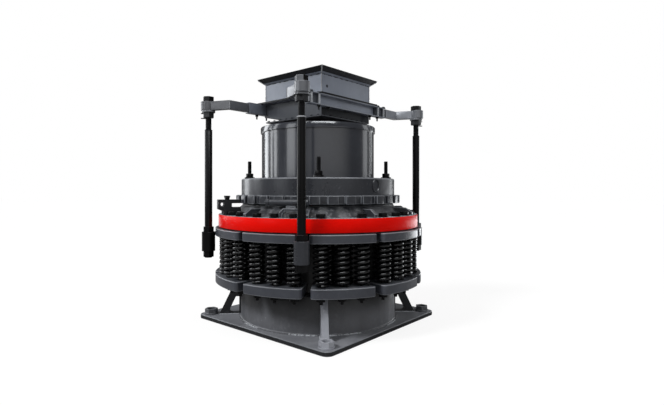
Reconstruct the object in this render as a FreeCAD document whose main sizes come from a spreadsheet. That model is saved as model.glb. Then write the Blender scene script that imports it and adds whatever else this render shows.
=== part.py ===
import FreeCAD, Part
import Sketcher
import math
import os

# Cone crusher with a coil spring release ring.
# Millimetres, +Z up. The origin is the middle of the base plate's underside, and the plate's sides lie along X and Y.

SIZES = {
    # Base plate and its foundation bosses
    "plate_side": 1188, "plate_thick": 28, "plate_corner": 48, "discharge_inset": 38,
    "foundation_half": 528, "foundation_hole": 26, "boss_radius": 47, "boss_lip": 9,
    "boss_hex": 78, "boss_hex_tall": 27,
    # Main frame shell, its waist behind the springs and its flange
    "shell_radius": 538, "shell_wall": 28, "shell_top": 256, "waist_step": 46, "waist_rise": 16,
    "weld_leg": 9, "flange_gap": 4, "flange_thick": 50, "flange_collar": 8,
    # Corner gussets: how far they reach past the shell, and their windows
    "gusset_thick": 43, "gusset_foot": 150, "gusset_head": 40, "gusset_bar": 56, "gusset_tie": 9,
    "gusset_bridge": 106, "window_inset": 4, "window_corner": 16,
    # Hub, crushing head and feed plate inside
    "hub_radius": 190, "hub_top": 500, "hub_bottom": 60, "arm_width": 90, "arm_tall": 100, "seat_gap": 0.3,
    "head_foot": 368, "head_shoulder": 188, "head_skirt": 560, "head_top": 857,
    "head_lip": 45, "head_draft": 8, "head_crown": 30, "head_nut_radius": 114,
    "feed_plate_radius": 150, "feed_plate_thick": 26, "feed_plate_stem": 60, "feed_plate_lift": 20,
    "feed_plate_floor": 14,
    # Spring segments and springs
    "groups": 10, "upper_group_gap": 2.8, "lower_group_gap": 4, "segment_overhang": 22,
    "segment_clearance": 14, "segment_corner": 24,
    "lower_segment_bottom": 279, "lower_segment_thick": 58,
    "upper_segment_bottom": 588, "upper_segment_thick": 52,
    "spring_inset": 50, "spring_radius": 50, "spring_wire": 20, "spring_step": 11,
    "coil_steps": 61, "steps_per_turn": 7, "closed_pitch": 1.03,
    "inner_spring_inset": 137, "inner_spring_radius": 42, "inner_spring_wire": 18,
    # Adjusting ring, its shoulder, its threaded neck and its ribs
    "ring_radius": 690, "ring_skirt_wall": 22, "ring_skirt_drop": 42, "ring_thick": 39, "edge_break": 5,
    "neck_wall": 28, "shoulder_run": 64, "shoulder_rise": 58, "neck_clearance": 7, "thread_gap": 0.4,
    "lug_thick": 22, "lug_inset": 20, "lug_tall": 48, "lug_slope": 44, "lug_nose": 20,
    # Bowl, its cap and its tall collar
    "thread_radius": 500, "thread_bottom": 700, "bowl_bottom": 602, "bowl_lower_radius": 450,
    "liner_foot": 430, "liner_throat": 300, "liner_wall": 38, "liner_gap": 0.3,
    "tooth_ring_bottom": 805, "tooth_ring_thick": 52, "tooth_ring_radius": 571, "tooth_ring_inner": 470,
    "tooth_count": 32, "tooth_notch": 48, "tooth_depth": 24, "cut_overrun": 5,
    "cap_radius": 534, "cap_tall": 111, "cap_inner": 404, "cap_taper": 40,
    "collar_radius": 394, "collar_wall": 12, "collar_tall": 354, "rim_wall": 8, "rim_tall": 38,
    "stud_angle": 42, "stud_circle": 483, "stud_radius": 13.5, "stud_tall": 126, "stud_nut": 48,
    "stud_nut_tall": 26, "stud_washer": 36, "stud_washer_thick": 14,
    # Locking pawl: radial places count from the shoulder's foot, heights from the ring's top
    "pawl_angle": 159, "pawl_width": 34, "pawl_foot_in": 5, "pawl_foot_out": 94, "pawl_foot_tall": 26,
    "pawl_back": 130, "pawl_back_low": 41, "pawl_slot_depth": 40, "pawl_slot_low": 52, "pawl_slot_tall": 25,
    "pawl_bar_tall": 25, "pawl_shelf": 20, "tooth_clearance": 5, "pawl_hole_in": 102, "pawl_hole_up": 71,
    "pawl_hole": 12, "knob_middle": 68, "knob_foot": 20, "knob_head": 34, "knob_tall": 24, "knob_width": 41,
    # Turning ram and its arched bracket
    "ram_angle": 205.5, "ram_inset": 30, "ram_radius": 17, "ram_length": 245, "ram_rise": 13,
    "ram_cap": 21, "ram_cap_out": 16, "ram_cap_in": 4, "saddle_width": 60, "saddle_tall": 16,
    "saddle_thick": 18, "arch_angle": 207, "arch_width": 146, "arch_thick": 30, "arch_leg": 24, "arch_strap": 18,
    "arch_corner": 26, "arch_inner": 14,
    # Corner posts and their sockets
    "post_bearing": 34.6, "post_offset": 66, "post_radius": 25, "post_neck": 18.5, "post_step": 1290,
    "post_tail": 44, "post_head": 1519, "socket_radius": 44, "socket_tall": 128, "socket_rise": 24,
    "post_nut": 66, "lock_nut_tall": 34, "foot_end": 6, "head_end": 3, "arm_washer": 44,
    "arm_washer_thick": 13, "lug_plate": 12,
    # Arms and channel beams that carry the feed box
    "arm_bar": 34, "arm_deep": 60, "arm_start": 300, "arm_bend": 60, "arm_line": 24,
    "arm_mitre": 10, "arm_skew": 8, "arm_step": 3, "arm_eye": 43, "eye_reach": 9, "eye_clearance": 0.5,
    "beam_half": 410, "beam_deep": 74, "beam_flange": 42, "beam_skin": 7, "beam_top": 1490,
    # Feed box
    "box_half": 259, "box_wall": 8, "box_bottom": 1369, "box_top": 1628, "lip_half": 303, "lip_top": 1667,
    "corner_gap": 30, "corner_gap_run": 170,
    "tie_half": 302, "tie_thick": 12, "spout_radius": 180, "spout_tall": 78,
}

doc = FreeCAD.newDocument("ConeCrusher")
sheet = doc.addObject("Spreadsheet::Sheet", "Sizes")
for row, (alias, number) in enumerate(SIZES.items(), 1):
    sheet.set(f"A{row}", str(number))
    sheet.setAlias(f"A{row}", alias)
doc.recompute()


class Length:
    """A number worked out from the sheet, with the expression that keeps a feature bound to it."""

    def __init__(self, number, text):
        self.number = float(number)
        self.text = text

    def __add__(self, other):
        other = length(other)
        return Length(self.number + other.number, f"({self.text} + {other.text})")

    def __radd__(self, other):
        return length(other) + self

    def __sub__(self, other):
        other = length(other)
        return Length(self.number - other.number, f"({self.text} - {other.text})")

    def __rsub__(self, other):
        return length(other) - self

    def __mul__(self, other):
        other = length(other)
        return Length(self.number * other.number, f"({self.text} * {other.text})")

    def __rmul__(self, other):
        return length(other) * self

    def __truediv__(self, other):
        other = length(other)
        return Length(self.number / other.number, f"({self.text} / {other.text})")

    def __rtruediv__(self, other):
        return length(other) / self

    def __neg__(self):
        return Length(-self.number, f"(0 - {self.text})")


def length(value):
    """A plain number as a Length; a Length stays as it is."""
    return value if isinstance(value, Length) else Length(value, repr(float(value)))


def size(alias):
    """The size that the sheet holds under this alias."""
    return Length(SIZES[alias], f"Sizes.{alias}")


def bind(target, path, value):
    """Ties one property of an object to the sheet."""
    target.setExpression(path, length(value).text)


def new_body(name):
    body = doc.addObject("PartDesign::Body", name)
    body.Label = name
    return body


def origin_feature(body, role):
    return next(item for item in body.Origin.OriginFeatures if item.Role == role)


def new_sketch(body, name, plane="XY_Plane", height=None):
    """A sketch on one of the body's origin planes, lifted off it by height."""
    sketch = body.newObject("Sketcher::SketchObject", name)
    sketch.AttachmentSupport = [(origin_feature(body, plane), "")]
    sketch.MapMode = "FlatFace"
    if height is not None:
        bind(sketch, "AttachmentOffset.Base.z", height)
    return sketch


def add_outline(sketch, points):
    """A closed outline of straight lines, with each corner held to the sheet."""
    corners = [FreeCAD.Vector(length(x).number, length(y).number, 0) for x, y in points]
    first = sketch.GeometryCount
    count = len(corners)
    for index, corner in enumerate(corners):
        sketch.addGeometry(Part.LineSegment(corner, corners[(index + 1) % count]), False)
    for index in range(count):
        following = first + (index + 1) % count
        sketch.addConstraint(Sketcher.Constraint("Coincident", first + index, 2, following, 1))
    for index, (x, y) in enumerate(points):
        for direction, value in (("DistanceX", length(x)), ("DistanceY", length(y))):
            rule = Sketcher.Constraint(direction, -1, 1, first + index, 1, value.number)
            number = sketch.addConstraint(rule)
            bind(sketch, f"Constraints[{number}]", value)


def add_circle(sketch, x, y, radius):
    """A circle held to the sheet by its centre and radius."""
    centre = FreeCAD.Vector(length(x).number, length(y).number, 0)
    shape = Part.Circle(centre, FreeCAD.Vector(0, 0, 1), length(radius).number)
    index = sketch.addGeometry(shape, False)
    for direction, value in (("DistanceX", length(x)), ("DistanceY", length(y))):
        number = sketch.addConstraint(Sketcher.Constraint(direction, -1, 1, index, 3, value.number))
        bind(sketch, f"Constraints[{number}]", value)
    number = sketch.addConstraint(Sketcher.Constraint("Radius", index, length(radius).number))
    bind(sketch, f"Constraints[{number}]", radius)


def hexagon(x, y, across_flats):
    """The corners of a nut with two flats parallel to X."""
    reach = length(across_flats) / math.sqrt(3)
    turns = [math.radians(60 * step) for step in range(6)]
    return [(x + reach * round(math.cos(turn), 6), y + reach * round(math.sin(turn), 6)) for turn in turns]


def add_feature(body, kind, name, sketch, **settings):
    feature = body.newObject(f"PartDesign::{kind}", name)
    feature.Profile = sketch
    sketch.Visibility = False
    for key, value in settings.items():
        setattr(feature, key, value)
    return feature


def pad(body, name, sketch, tall):
    feature = add_feature(body, "Pad", name, sketch)
    bind(feature, "Length", tall)
    return feature


def cut_through(body, name, sketch):
    """A pocket that cuts all the way through, both ways from its sketch."""
    return add_feature(body, "Pocket", name, sketch, Type="ThroughAll", Midplane=True)


def revolve(body, name, sketch, angle=None):
    """The sketch turned about Z; a part turn is spread evenly to both sides of the sketch."""
    feature = add_feature(body, "Revolution", name, sketch, Angle=360)
    feature.ReferenceAxis = (sketch, ["V_Axis"])
    if angle is not None:
        feature.Midplane = True
        bind(feature, "Angle", angle)
    return feature


def polar_copies(body, name, originals, sketch, axis, count):
    """Copies of some features, evenly spaced about Z."""
    pattern = body.newObject("PartDesign::PolarPattern", name)
    pattern.Originals = originals
    pattern.Axis = (sketch, [axis])
    pattern.Angle = 360
    bind(pattern, "Occurrences", count)
    body.Tip = pattern
    return pattern


def fillet(body, name, base, chosen, radius):
    """Rounds the edges of a feature that a test picks."""
    doc.recompute()
    edges = [f"Edge{index}" for index, edge in enumerate(base.Shape.Edges, 1) if chosen(edge)]
    feature = body.newObject("PartDesign::Fillet", name)
    feature.Base = (base, edges)
    bind(feature, "Radius", radius)
    body.Tip = feature
    return feature


def is_upright(edge):
    """A straight edge that runs along Z."""
    if edge.Curve.TypeId != "Part::GeomLine":
        return False
    return abs(edge.Curve.Direction.z) > 0.999


def turned_part(name, points):
    """A sub-part of revolution, from its half section as radius and height pairs."""
    body = new_body(name)
    sketch = new_sketch(body, f"{name}_section", "XZ_Plane")
    add_outline(sketch, points)
    revolve(body, f"{name}_turned", sketch)
    return body


def plate_top():
    return size("plate_thick")


def waist_radius():
    return size("shell_radius") - size("waist_step")


def upper_segment_top():
    return size("upper_segment_bottom") + size("upper_segment_thick")


def flange_top():
    return upper_segment_top() + size("flange_thick")


def ring_top():
    return flange_top() + size("ring_thick")


def neck_radius():
    return size("thread_radius") + size("neck_wall")


def shoulder_foot():
    """Where the adjusting ring's flat top meets its sloping shoulder."""
    return neck_radius() + size("shoulder_run")


def post_circle():
    return size("ring_radius") + size("post_offset")


def post_place(sign_x, sign_y):
    """The middle of a post, seen from above."""
    bearing = math.radians(SIZES["post_bearing"])
    across = post_circle() * round(math.cos(bearing), 6)
    along = post_circle() * round(math.sin(bearing), 6)
    return across * sign_x, along * sign_y


def make_base_plate():
    body = new_body("base_plate")
    half = size("plate_side") / 2
    outline = new_sketch(body, "plate_outline")
    add_outline(outline, [(-half, -half), (half, -half), (half, half), (-half, half)])
    slab = pad(body, "plate_slab", outline, plate_top())
    fillet(body, "plate_corners", slab, is_upright, size("plate_corner"))
    openings = new_sketch(body, "plate_openings")
    add_circle(openings, 0, 0, size("shell_radius") - size("discharge_inset"))
    place = size("foundation_half")
    for x, y in ((-place, -place), (place, -place), (place, place), (-place, place)):
        add_circle(openings, x, y, size("foundation_hole"))
    doc.recompute()
    body.Tip = cut_through(body, "plate_cuts", openings)


def make_foundation_bosses():
    """A round washer pad with a hexagon collar at each corner, open for the foundation bolt."""
    body = new_body("foundation_bosses")
    place = size("foundation_half")
    washer = new_sketch(body, "boss_washer_outline", height=plate_top())
    add_circle(washer, place, place, size("boss_radius"))
    add_circle(washer, place, place, size("foundation_hole"))
    low = pad(body, "boss_washer", washer, size("boss_lip"))
    collar = new_sketch(body, "boss_collar_outline", height=plate_top())
    add_outline(collar, hexagon(place, place, size("boss_hex")))
    add_circle(collar, place, place, size("foundation_hole"))
    high = pad(body, "boss_collar", collar, size("boss_lip") + size("boss_hex_tall"))
    polar_copies(body, "boss_corners", [low, high], washer, "N_Axis", 4)


def make_frame_shell():
    wall = size("shell_wall")
    outer = size("shell_radius")
    waist = waist_radius()
    shoulder = size("shell_top")
    waist_start = shoulder + size("waist_rise")
    turned_part("frame_shell", [
        (outer - wall, plate_top()), (outer + size("weld_leg"), plate_top()),
        (outer, plate_top() + size("weld_leg")), (outer, shoulder),
        (waist, waist_start), (waist, size("upper_segment_bottom")),
        (waist - wall, size("upper_segment_bottom")), (waist - wall, waist_start - wall),
        (outer - wall, shoulder - wall)])


def make_frame_flange():
    inner = waist_radius() - size("shell_wall")
    collar = waist_radius() + size("flange_collar")
    outer = size("ring_radius") - size("ring_skirt_wall") - size("flange_gap")
    turned_part("frame_flange", [
        (inner, size("upper_segment_bottom")), (collar, size("upper_segment_bottom")),
        (collar, upper_segment_top()), (outer, upper_segment_top()),
        (outer, flange_top()), (inner, flange_top())])


def make_corner_gussets():
    """A windowed plate on each diagonal that braces the shell down to the plate's corner."""
    body = new_body("corner_gussets")
    outer = size("shell_radius")
    weld = outer + size("weld_leg")
    foot, head = outer + size("gusset_foot"), outer + size("gusset_head")
    top = size("shell_top")
    section = new_sketch(body, "gusset_outline", "XZ_Plane")
    add_outline(section, [
        (weld, plate_top()), (foot, plate_top()), (head, top), (outer, top),
        (outer, plate_top() + size("weld_leg"))])
    slope = (foot - head) / (top - plate_top())
    low, high = plate_top() + size("gusset_tie"), top - size("gusset_bridge")
    inner = weld + size("window_inset")
    leg_low = foot - slope * size("gusset_tie") - size("gusset_bar")
    leg_high = leg_low - slope * (high - low)
    add_outline(section, [(inner, low), (leg_low, low), (leg_high, high), (inner, high)])
    plate = add_feature(body, "Pad", "gusset_plate", section, Midplane=True)
    bind(plate, "Length", size("gusset_thick"))

    def is_window_corner(edge):
        middle = edge.CenterOfMass
        place = math.hypot(middle.x - leg_low.number, middle.z - low.number)
        return place < 1 and abs(middle.y) < 1

    rounded = fillet(body, "gusset_window_corner", plate, is_window_corner, size("window_corner"))
    polar_copies(body, "gusset_corners", [plate, rounded], section, "V_Axis", 4)
    turned_about_z(body, 45)


def make_frame_hub():
    """The bearing hub in the middle of the frame, tied to the shell by four arms."""
    body = new_body("frame_hub")
    hub = new_sketch(body, "hub_outline", height=size("hub_bottom"))
    add_circle(hub, 0, 0, size("hub_radius"))
    pad(body, "hub_barrel", hub, size("hub_top") - size("hub_bottom"))
    arm = new_sketch(body, "hub_arm_outline", height=size("hub_bottom") * 2)
    half = size("arm_width") / 2
    bore = size("shell_radius") - size("shell_wall")
    add_outline(arm, [(0, -half), (bore, -half), (bore, half), (0, half)])
    first = pad(body, "hub_arm", arm, size("arm_tall"))
    polar_copies(body, "hub_arms", [first], arm, "N_Axis", 4)
    trim = new_sketch(body, "hub_arm_trim_outline", height=size("hub_bottom") * 2)
    add_circle(trim, 0, 0, bore - size("seat_gap"))
    add_circle(trim, 0, 0, bore + size("arm_width"))
    doc.recompute()
    body.Tip = cut_through(body, "hub_arm_trim", trim)


def make_crushing_head():
    foot, top = size("head_skirt"), size("head_top")
    crown = top + size("head_crown")
    turned_part("crushing_head", [
        (0, size("hub_top")), (size("hub_radius"), size("hub_top")),
        (size("head_foot"), foot), (size("head_foot") - size("head_draft"), foot + size("head_lip")),
        (size("head_shoulder"), top), (size("head_nut_radius"), crown), (0, crown)])


def make_feed_plate():
    crown = size("head_top") + size("head_crown")
    low = crown + size("feed_plate_lift")
    floor = low + size("feed_plate_floor")
    high = low + size("feed_plate_thick")
    stem = size("feed_plate_stem")
    radius = size("feed_plate_radius")
    turned_part("feed_plate", [
        (0, crown), (stem, crown), (stem, low), (radius, low), (radius, high),
        (radius - size("feed_plate_floor"), high), (stem, floor), (0, floor)])


def make_segments(name, bottom, thick, gap):
    """Ten curved plates in a ring, with rounded ends and a narrow gap between them."""
    body = new_body(name)
    inner = waist_radius() + size("segment_clearance")
    outer = size("ring_radius") + size("segment_overhang")
    section = new_sketch(body, f"{name}_section", "XZ_Plane")
    top = bottom + thick
    add_outline(section, [(inner, bottom), (outer, bottom), (outer, top), (inner, top)])
    turned = revolve(body, f"{name}_sector", section, 360 / size("groups") - gap)
    rim = outer.number - 1

    def is_outer_corner(edge):
        return is_upright(edge) and math.hypot(edge.Vertexes[0].X, edge.Vertexes[0].Y) > rim

    rounded = fillet(body, f"{name}_corners", turned, is_outer_corner, size("segment_corner"))
    pattern = body.newObject("PartDesign::PolarPattern", f"{name}_ring")
    pattern.Originals = [turned, rounded]
    pattern.Axis = (section, ["V_Axis"])
    pattern.Angle = 360
    bind(pattern, "Occurrences", size("groups"))
    body.Tip = pattern
    turned_about_z(body, 180 / SIZES["groups"])
    return body


def group_angles(offsets):
    """The angle of each spring: every group of the ring, and the places within a group."""
    groups = int(SIZES["groups"])
    pitch = 360 / groups
    return [pitch * (group + 0.5) + offset for group in range(groups) for offset in offsets]


def spring_seats():
    """The heights that the springs fill between their segments, just clear of both."""
    low = SIZES["lower_segment_bottom"] + SIZES["lower_segment_thick"] + SIZES["seat_gap"]
    return low, SIZES["upper_segment_bottom"] - SIZES["seat_gap"]


def spring_feet(circle, offsets):
    """The foot of each spring in a ring of them."""
    low = spring_seats()[0]
    turns = [math.radians(angle) for angle in group_angles(offsets)]
    return [FreeCAD.Vector(circle * math.cos(turn), circle * math.sin(turn), low) for turn in turns]


def coil_height(step, wire, tall):
    """The height of a coil's wire at a step: closed end turns, with an even pitch between them."""
    closed = SIZES["steps_per_turn"]
    last = SIZES["coil_steps"]
    end_pitch = wire / closed
    open_pitch = (tall - wire - 2 * wire) / (last - 2 * closed)
    first_turn = min(step, closed) * end_pitch
    last_turn = max(step - (last - closed), 0) * end_pitch
    between = min(max(step - closed, 0), last - 2 * closed) * open_pitch
    return wire / 2 + first_turn + between + last_turn


def coil_spring(radius, wire, tall):
    """One spring of square bar, wound in short straight steps and closed at both ends."""
    half = wire / 2
    mean = radius - half
    sections = []
    for step in range(SIZES["coil_steps"] + 1):
        turn = 2 * math.pi * step / SIZES["steps_per_turn"]
        middle = coil_height(step, wire * SIZES["closed_pitch"], tall)
        low, high = middle - half, middle + half
        places = [(mean - half, low), (mean + half, low), (mean + half, high), (mean - half, high)]
        sections.append([
            FreeCAD.Vector(reach * math.cos(turn), reach * math.sin(turn), z) for reach, z in places])
    faces = [Part.Face(Part.makePolygon(end + [end[0]])) for end in (sections[0], sections[-1])]
    for near, far in zip(sections, sections[1:]):
        for side in range(4):
            following = (side + 1) % 4
            first, second = near[side], near[following]
            third, fourth = far[following], far[side]
            if side % 2:
                faces.append(Part.Face(Part.makePolygon([first, second, third, fourth, first])))
            else:
                faces.append(Part.Face(Part.makePolygon([first, second, third, first])))
                faces.append(Part.Face(Part.makePolygon([first, third, fourth, first])))
    return Part.makeSolid(Part.makeShell(faces))


def add_shapes(name, shapes):
    feature = doc.addObject("Part::Feature", name)
    feature.Label = name
    feature.Shape = Part.makeCompound(shapes)


def make_outer_springs():
    low, high = spring_seats()
    coil = coil_spring(SIZES["spring_radius"], SIZES["spring_wire"], high - low)
    circle = SIZES["ring_radius"] - SIZES["spring_inset"]
    step = SIZES["spring_step"]
    add_shapes("outer_springs", [coil.translated(foot) for foot in spring_feet(circle, (-step, 0, step))])


def make_inner_springs():
    """The springs of the inner row stand behind the others, and are kept as plain sleeves."""
    low, high = spring_seats()
    radius = SIZES["inner_spring_radius"]
    circle = SIZES["ring_radius"] - SIZES["inner_spring_inset"]
    half_step = SIZES["spring_step"] / 2
    shapes = []
    for foot in spring_feet(circle, (-half_step, half_step)):
        outer = Part.makeCylinder(radius, high - low, foot)
        shapes.append(outer.cut(Part.makeCylinder(radius - SIZES["inner_spring_wire"], high - low, foot)))
    add_shapes("inner_springs", shapes)


def make_adjusting_ring():
    """The casting that carries the bowl: a deep flange, a sloping shoulder and the threaded neck."""
    bore = size("thread_radius") + size("thread_gap")
    outer = size("ring_radius")
    skirt = outer - size("ring_skirt_wall")
    rim = flange_top() - size("ring_skirt_drop")
    edge = size("edge_break")
    neck_top = size("tooth_ring_bottom") - size("neck_clearance")
    turned_part("adjusting_ring", [
        (bore, flange_top()), (skirt, flange_top()), (skirt, rim), (outer, rim),
        (outer, ring_top() - edge), (outer - edge, ring_top()), (shoulder_foot(), ring_top()),
        (neck_radius(), ring_top() + size("shoulder_rise")), (neck_radius(), neck_top),
        (bore, neck_top)])


def make_bowl():
    gap = size("liner_gap")
    thread = size("thread_radius")
    low, top = size("bowl_bottom"), size("tooth_ring_bottom") + size("tooth_ring_thick")
    turned_part("bowl", [
        (size("liner_foot") + gap, low), (size("bowl_lower_radius"), low),
        (size("bowl_lower_radius"), size("thread_bottom")), (thread, size("thread_bottom")),
        (thread, size("tooth_ring_bottom")), (size("tooth_ring_inner"), size("tooth_ring_bottom")),
        (size("tooth_ring_inner"), top), (size("liner_throat") + gap, top)])
    wall = size("liner_wall")
    turned_part("bowl_liner", [
        (size("liner_foot") - wall, low), (size("liner_foot"), low),
        (size("liner_throat"), top), (size("liner_throat") - wall, top)])


def make_toothed_ring():
    """The setting ring: a thick ring with square notches all round its edge."""
    body = new_body("toothed_ring")
    disc = new_sketch(body, "toothed_ring_outline", height=size("tooth_ring_bottom"))
    radius = size("tooth_ring_radius")
    add_circle(disc, 0, 0, radius)
    add_circle(disc, 0, 0, size("tooth_ring_inner"))
    pad(body, "toothed_ring_disc", disc, size("tooth_ring_thick"))
    notch = new_sketch(body, "toothed_ring_notch_outline", height=size("tooth_ring_bottom"))
    half = size("tooth_notch") / 2
    root = radius - size("tooth_depth")
    reach = radius + size("cut_overrun")
    add_outline(notch, [(root, -half), (reach, -half), (reach, half), (root, half)])
    doc.recompute()
    first = cut_through(body, "toothed_ring_notch", notch)
    polar_copies(body, "toothed_ring_notches", [first], notch, "N_Axis", size("tooth_count"))


def cap_bottom():
    return size("tooth_ring_bottom") + size("tooth_ring_thick")


def cap_top():
    return cap_bottom() + size("cap_tall")


def make_cap_and_collar():
    turned_part("adjusting_cap", [
        (size("cap_inner") - size("cap_taper"), cap_bottom()), (size("cap_radius"), cap_bottom()),
        (size("cap_radius"), cap_top() - size("edge_break")),
        (size("cap_radius") - size("edge_break"), cap_top()),
        (size("collar_radius") - size("collar_wall"), cap_top())])
    wall = size("collar_wall")
    outer = size("collar_radius")
    top = cap_top() + size("collar_tall")
    turned_part("feed_collar", [
        (outer - wall, cap_top()), (outer, cap_top()), (outer, top), (outer - wall, top)])
    turned_part("collar_rim", [
        (outer, top - size("rim_tall")), (outer + size("rim_wall"), top - size("rim_tall")),
        (outer + size("rim_wall"), top), (outer, top)])


def make_cap_studs():
    """Four threaded studs on the cap, each with its washer and nut."""
    body = new_body("cap_studs")
    circle = size("stud_circle")
    washer = new_sketch(body, "stud_washer_outline", height=cap_top())
    add_circle(washer, circle, 0, size("stud_washer"))
    first = pad(body, "stud_washer_disc", washer, size("stud_washer_thick"))
    nut = new_sketch(body, "stud_nut_outline", height=cap_top())
    add_outline(nut, hexagon(circle, 0, size("stud_nut")))
    second = pad(body, "stud_nut_hex", nut, size("stud_washer_thick") + size("stud_nut_tall"))
    shank = new_sketch(body, "stud_shank_outline", height=cap_top())
    add_circle(shank, circle, 0, size("stud_radius"))
    third = pad(body, "stud_shank", shank, size("stud_tall"))
    polar_copies(body, "studs_all", [first, second, third], washer, "N_Axis", 4)
    turned_about_z(body, SIZES["stud_angle"])


def make_ring_lugs():
    """Upright ribs that stand on the adjusting ring's flat top and lean on its shoulder."""
    body = new_body("ring_lugs")
    section = new_sketch(body, "lug_outline", "XZ_Plane")
    outer = size("ring_radius") - size("lug_inset")
    low, top = ring_top(), ring_top() + size("lug_tall")
    inner = shoulder_foot() - size("shoulder_run") * size("lug_tall") / size("shoulder_rise")
    add_outline(section, [
        (shoulder_foot(), low), (outer, low), (outer, low + size("lug_nose")),
        (outer - size("lug_slope"), top), (inner, top)])
    first = add_feature(body, "Pad", "lug_plate", section, Midplane=True)
    bind(first, "Length", size("lug_thick"))
    polar_copies(body, "lugs_all", [first], section, "V_Axis", size("groups"))


def turned_about_z(body, degrees):
    axis = FreeCAD.Vector(0, 0, 1)
    body.Placement = FreeCAD.Placement(FreeCAD.Vector(), FreeCAD.Rotation(axis, degrees))


def pawl_bar_top():
    return ring_top() + size("pawl_slot_low") + size("pawl_slot_tall") + size("pawl_bar_tall")


def make_pawl():
    """The slotted radial stand beside the toothed ring, and the locking pawl's knob on its top bar."""
    stand = new_body("pawl_stand")
    side = new_sketch(stand, "pawl_stand_outline", "XZ_Plane")
    base = shoulder_foot()
    low, high = ring_top(), pawl_bar_top()
    shelf_low = low + size("pawl_foot_tall")
    slot_low = low + size("pawl_slot_low")
    slot_high = slot_low + size("pawl_slot_tall")
    foot_in, foot_out = base + size("pawl_foot_in"), base + size("pawl_foot_out")
    shelf, slot_end = base - size("pawl_shelf"), base + size("pawl_slot_depth")
    back = base + size("pawl_back")
    nose = size("tooth_ring_radius") + size("tooth_clearance")
    add_outline(side, [
        (foot_in, low), (foot_out, low), (foot_out, shelf_low), (back, low + size("pawl_back_low")),
        (back, high), (nose, high), (nose, slot_high), (slot_end, slot_high),
        (slot_end, slot_low), (shelf, slot_low), (shelf, shelf_low), (foot_in, shelf_low)])
    add_circle(side, base + size("pawl_hole_in"), low + size("pawl_hole_up"), size("pawl_hole"))
    plate = add_feature(stand, "Pad", "pawl_stand_plate", side, Midplane=True)
    bind(plate, "Length", size("pawl_width"))
    turned_about_z(stand, SIZES["pawl_angle"])
    knob = new_body("locking_pawl")
    flare = new_sketch(knob, "pawl_knob_outline", "XZ_Plane")
    middle = base + size("knob_middle")
    foot, head = size("knob_foot") / 2, size("knob_head") / 2
    top = high + size("knob_tall")
    add_outline(flare, [
        (middle - foot, high), (middle + foot, high), (middle + head, top), (middle - head, top)])
    wedge = add_feature(knob, "Pad", "pawl_knob", flare, Midplane=True)
    bind(wedge, "Length", size("knob_width"))
    turned_about_z(knob, SIZES["pawl_angle"])


def make_ram():
    """The turning ram: a bar beside the toothed ring, on an arched bracket on the adjusting ring."""
    bracket = new_body("ram_bracket")
    circle = shoulder_foot() + size("ram_inset")
    ram_height = size("tooth_ring_bottom") + size("ram_rise")
    front = new_sketch(bracket, "ram_arch_outline", "YZ_Plane", height=circle)
    half, leg, strap = size("arch_width") / 2, size("arch_leg"), size("arch_strap")
    outside, inside = size("arch_corner"), size("arch_inner")
    saddle_top = ram_height - size("ram_radius")
    low, high = ring_top(), saddle_top - size("saddle_tall")
    hollow, under = half - leg, high - strap
    add_outline(front, [
        (-half, low), (-hollow, low), (-hollow, under - inside), (-hollow + inside, under),
        (hollow - inside, under), (hollow, under - inside), (hollow, low), (half, low),
        (half, high - outside), (half - outside, high), (-half + outside, high), (-half, high - outside)])
    arch = add_feature(bracket, "Pad", "ram_arch", front, Midplane=True)
    bind(arch, "Length", size("arch_thick"))
    block = new_sketch(bracket, "ram_saddle_outline", "YZ_Plane", height=circle)
    half_block = size("saddle_width") / 2
    add_outline(block, [
        (-half_block, high), (half_block, high), (half_block, saddle_top), (-half_block, saddle_top)])
    saddle = add_feature(bracket, "Pad", "ram_saddle", block, Midplane=True)
    bind(saddle, "Length", size("saddle_thick"))
    turned_about_z(bracket, SIZES["arch_angle"])
    ram = new_body("turning_ram")
    end = new_sketch(ram, "ram_outline", "XZ_Plane")
    add_circle(end, circle, ram_height, size("ram_radius"))
    rod = add_feature(ram, "Pad", "ram_rod", end, Midplane=True)
    bind(rod, "Length", size("ram_length"))
    collar = new_sketch(ram, "ram_cap_outline", "XZ_Plane", height=size("ram_length") / 2 - size("ram_cap_in"))
    add_circle(collar, circle, ram_height, size("ram_cap"))
    pad(ram, "ram_cap_end", collar, size("ram_cap_in") + size("ram_cap_out"))
    turned_about_z(ram, SIZES["ram_angle"])


def socket_top():
    return size("upper_segment_bottom") + size("socket_rise")


def arm_bottom():
    """The arms are centred on the beams' depth."""
    return size("beam_top") - (size("beam_deep") + size("arm_deep")) / 2


def make_post(index, sign_x, sign_y):
    """A tall post: a thick bar with a threaded neck above, and its nuts."""
    body = new_body(f"post_{index}")
    x, y = post_place(sign_x, sign_y)
    foot = socket_top() - size("socket_tall") - size("post_tail")
    bar = new_sketch(body, f"post_{index}_bar_outline", height=foot)
    add_circle(bar, x, y, size("post_radius"))
    pad(body, f"post_{index}_bar", bar, size("post_step") - foot)
    neck = new_sketch(body, f"post_{index}_neck_outline", height=size("post_step"))
    add_circle(neck, x, y, size("post_neck"))
    pad(body, f"post_{index}_neck", neck, size("post_head") - size("post_step"))
    arm_top = arm_bottom() + size("arm_deep")
    washer_low = arm_bottom() - size("arm_washer_thick")
    washer = new_sketch(body, f"post_{index}_washer_outline", height=washer_low)
    add_circle(washer, x, y, size("arm_washer"))
    pad(body, f"post_{index}_washer", washer, size("arm_washer_thick"))
    nuts = [("under", washer_low - size("lock_nut_tall"), size("lock_nut_tall")),
            ("top", arm_top, size("post_head") - arm_top - size("head_end")),
            ("lock", socket_top(), size("lock_nut_tall")),
            ("foot", foot + size("foot_end"), size("post_tail") - size("foot_end"))]
    for place, low, tall in nuts:
        outline = new_sketch(body, f"post_{index}_{place}_nut_outline", height=low)
        add_outline(outline, hexagon(x, y, size("post_nut")))
        pad(body, f"post_{index}_{place}_nut", outline, tall)


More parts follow.
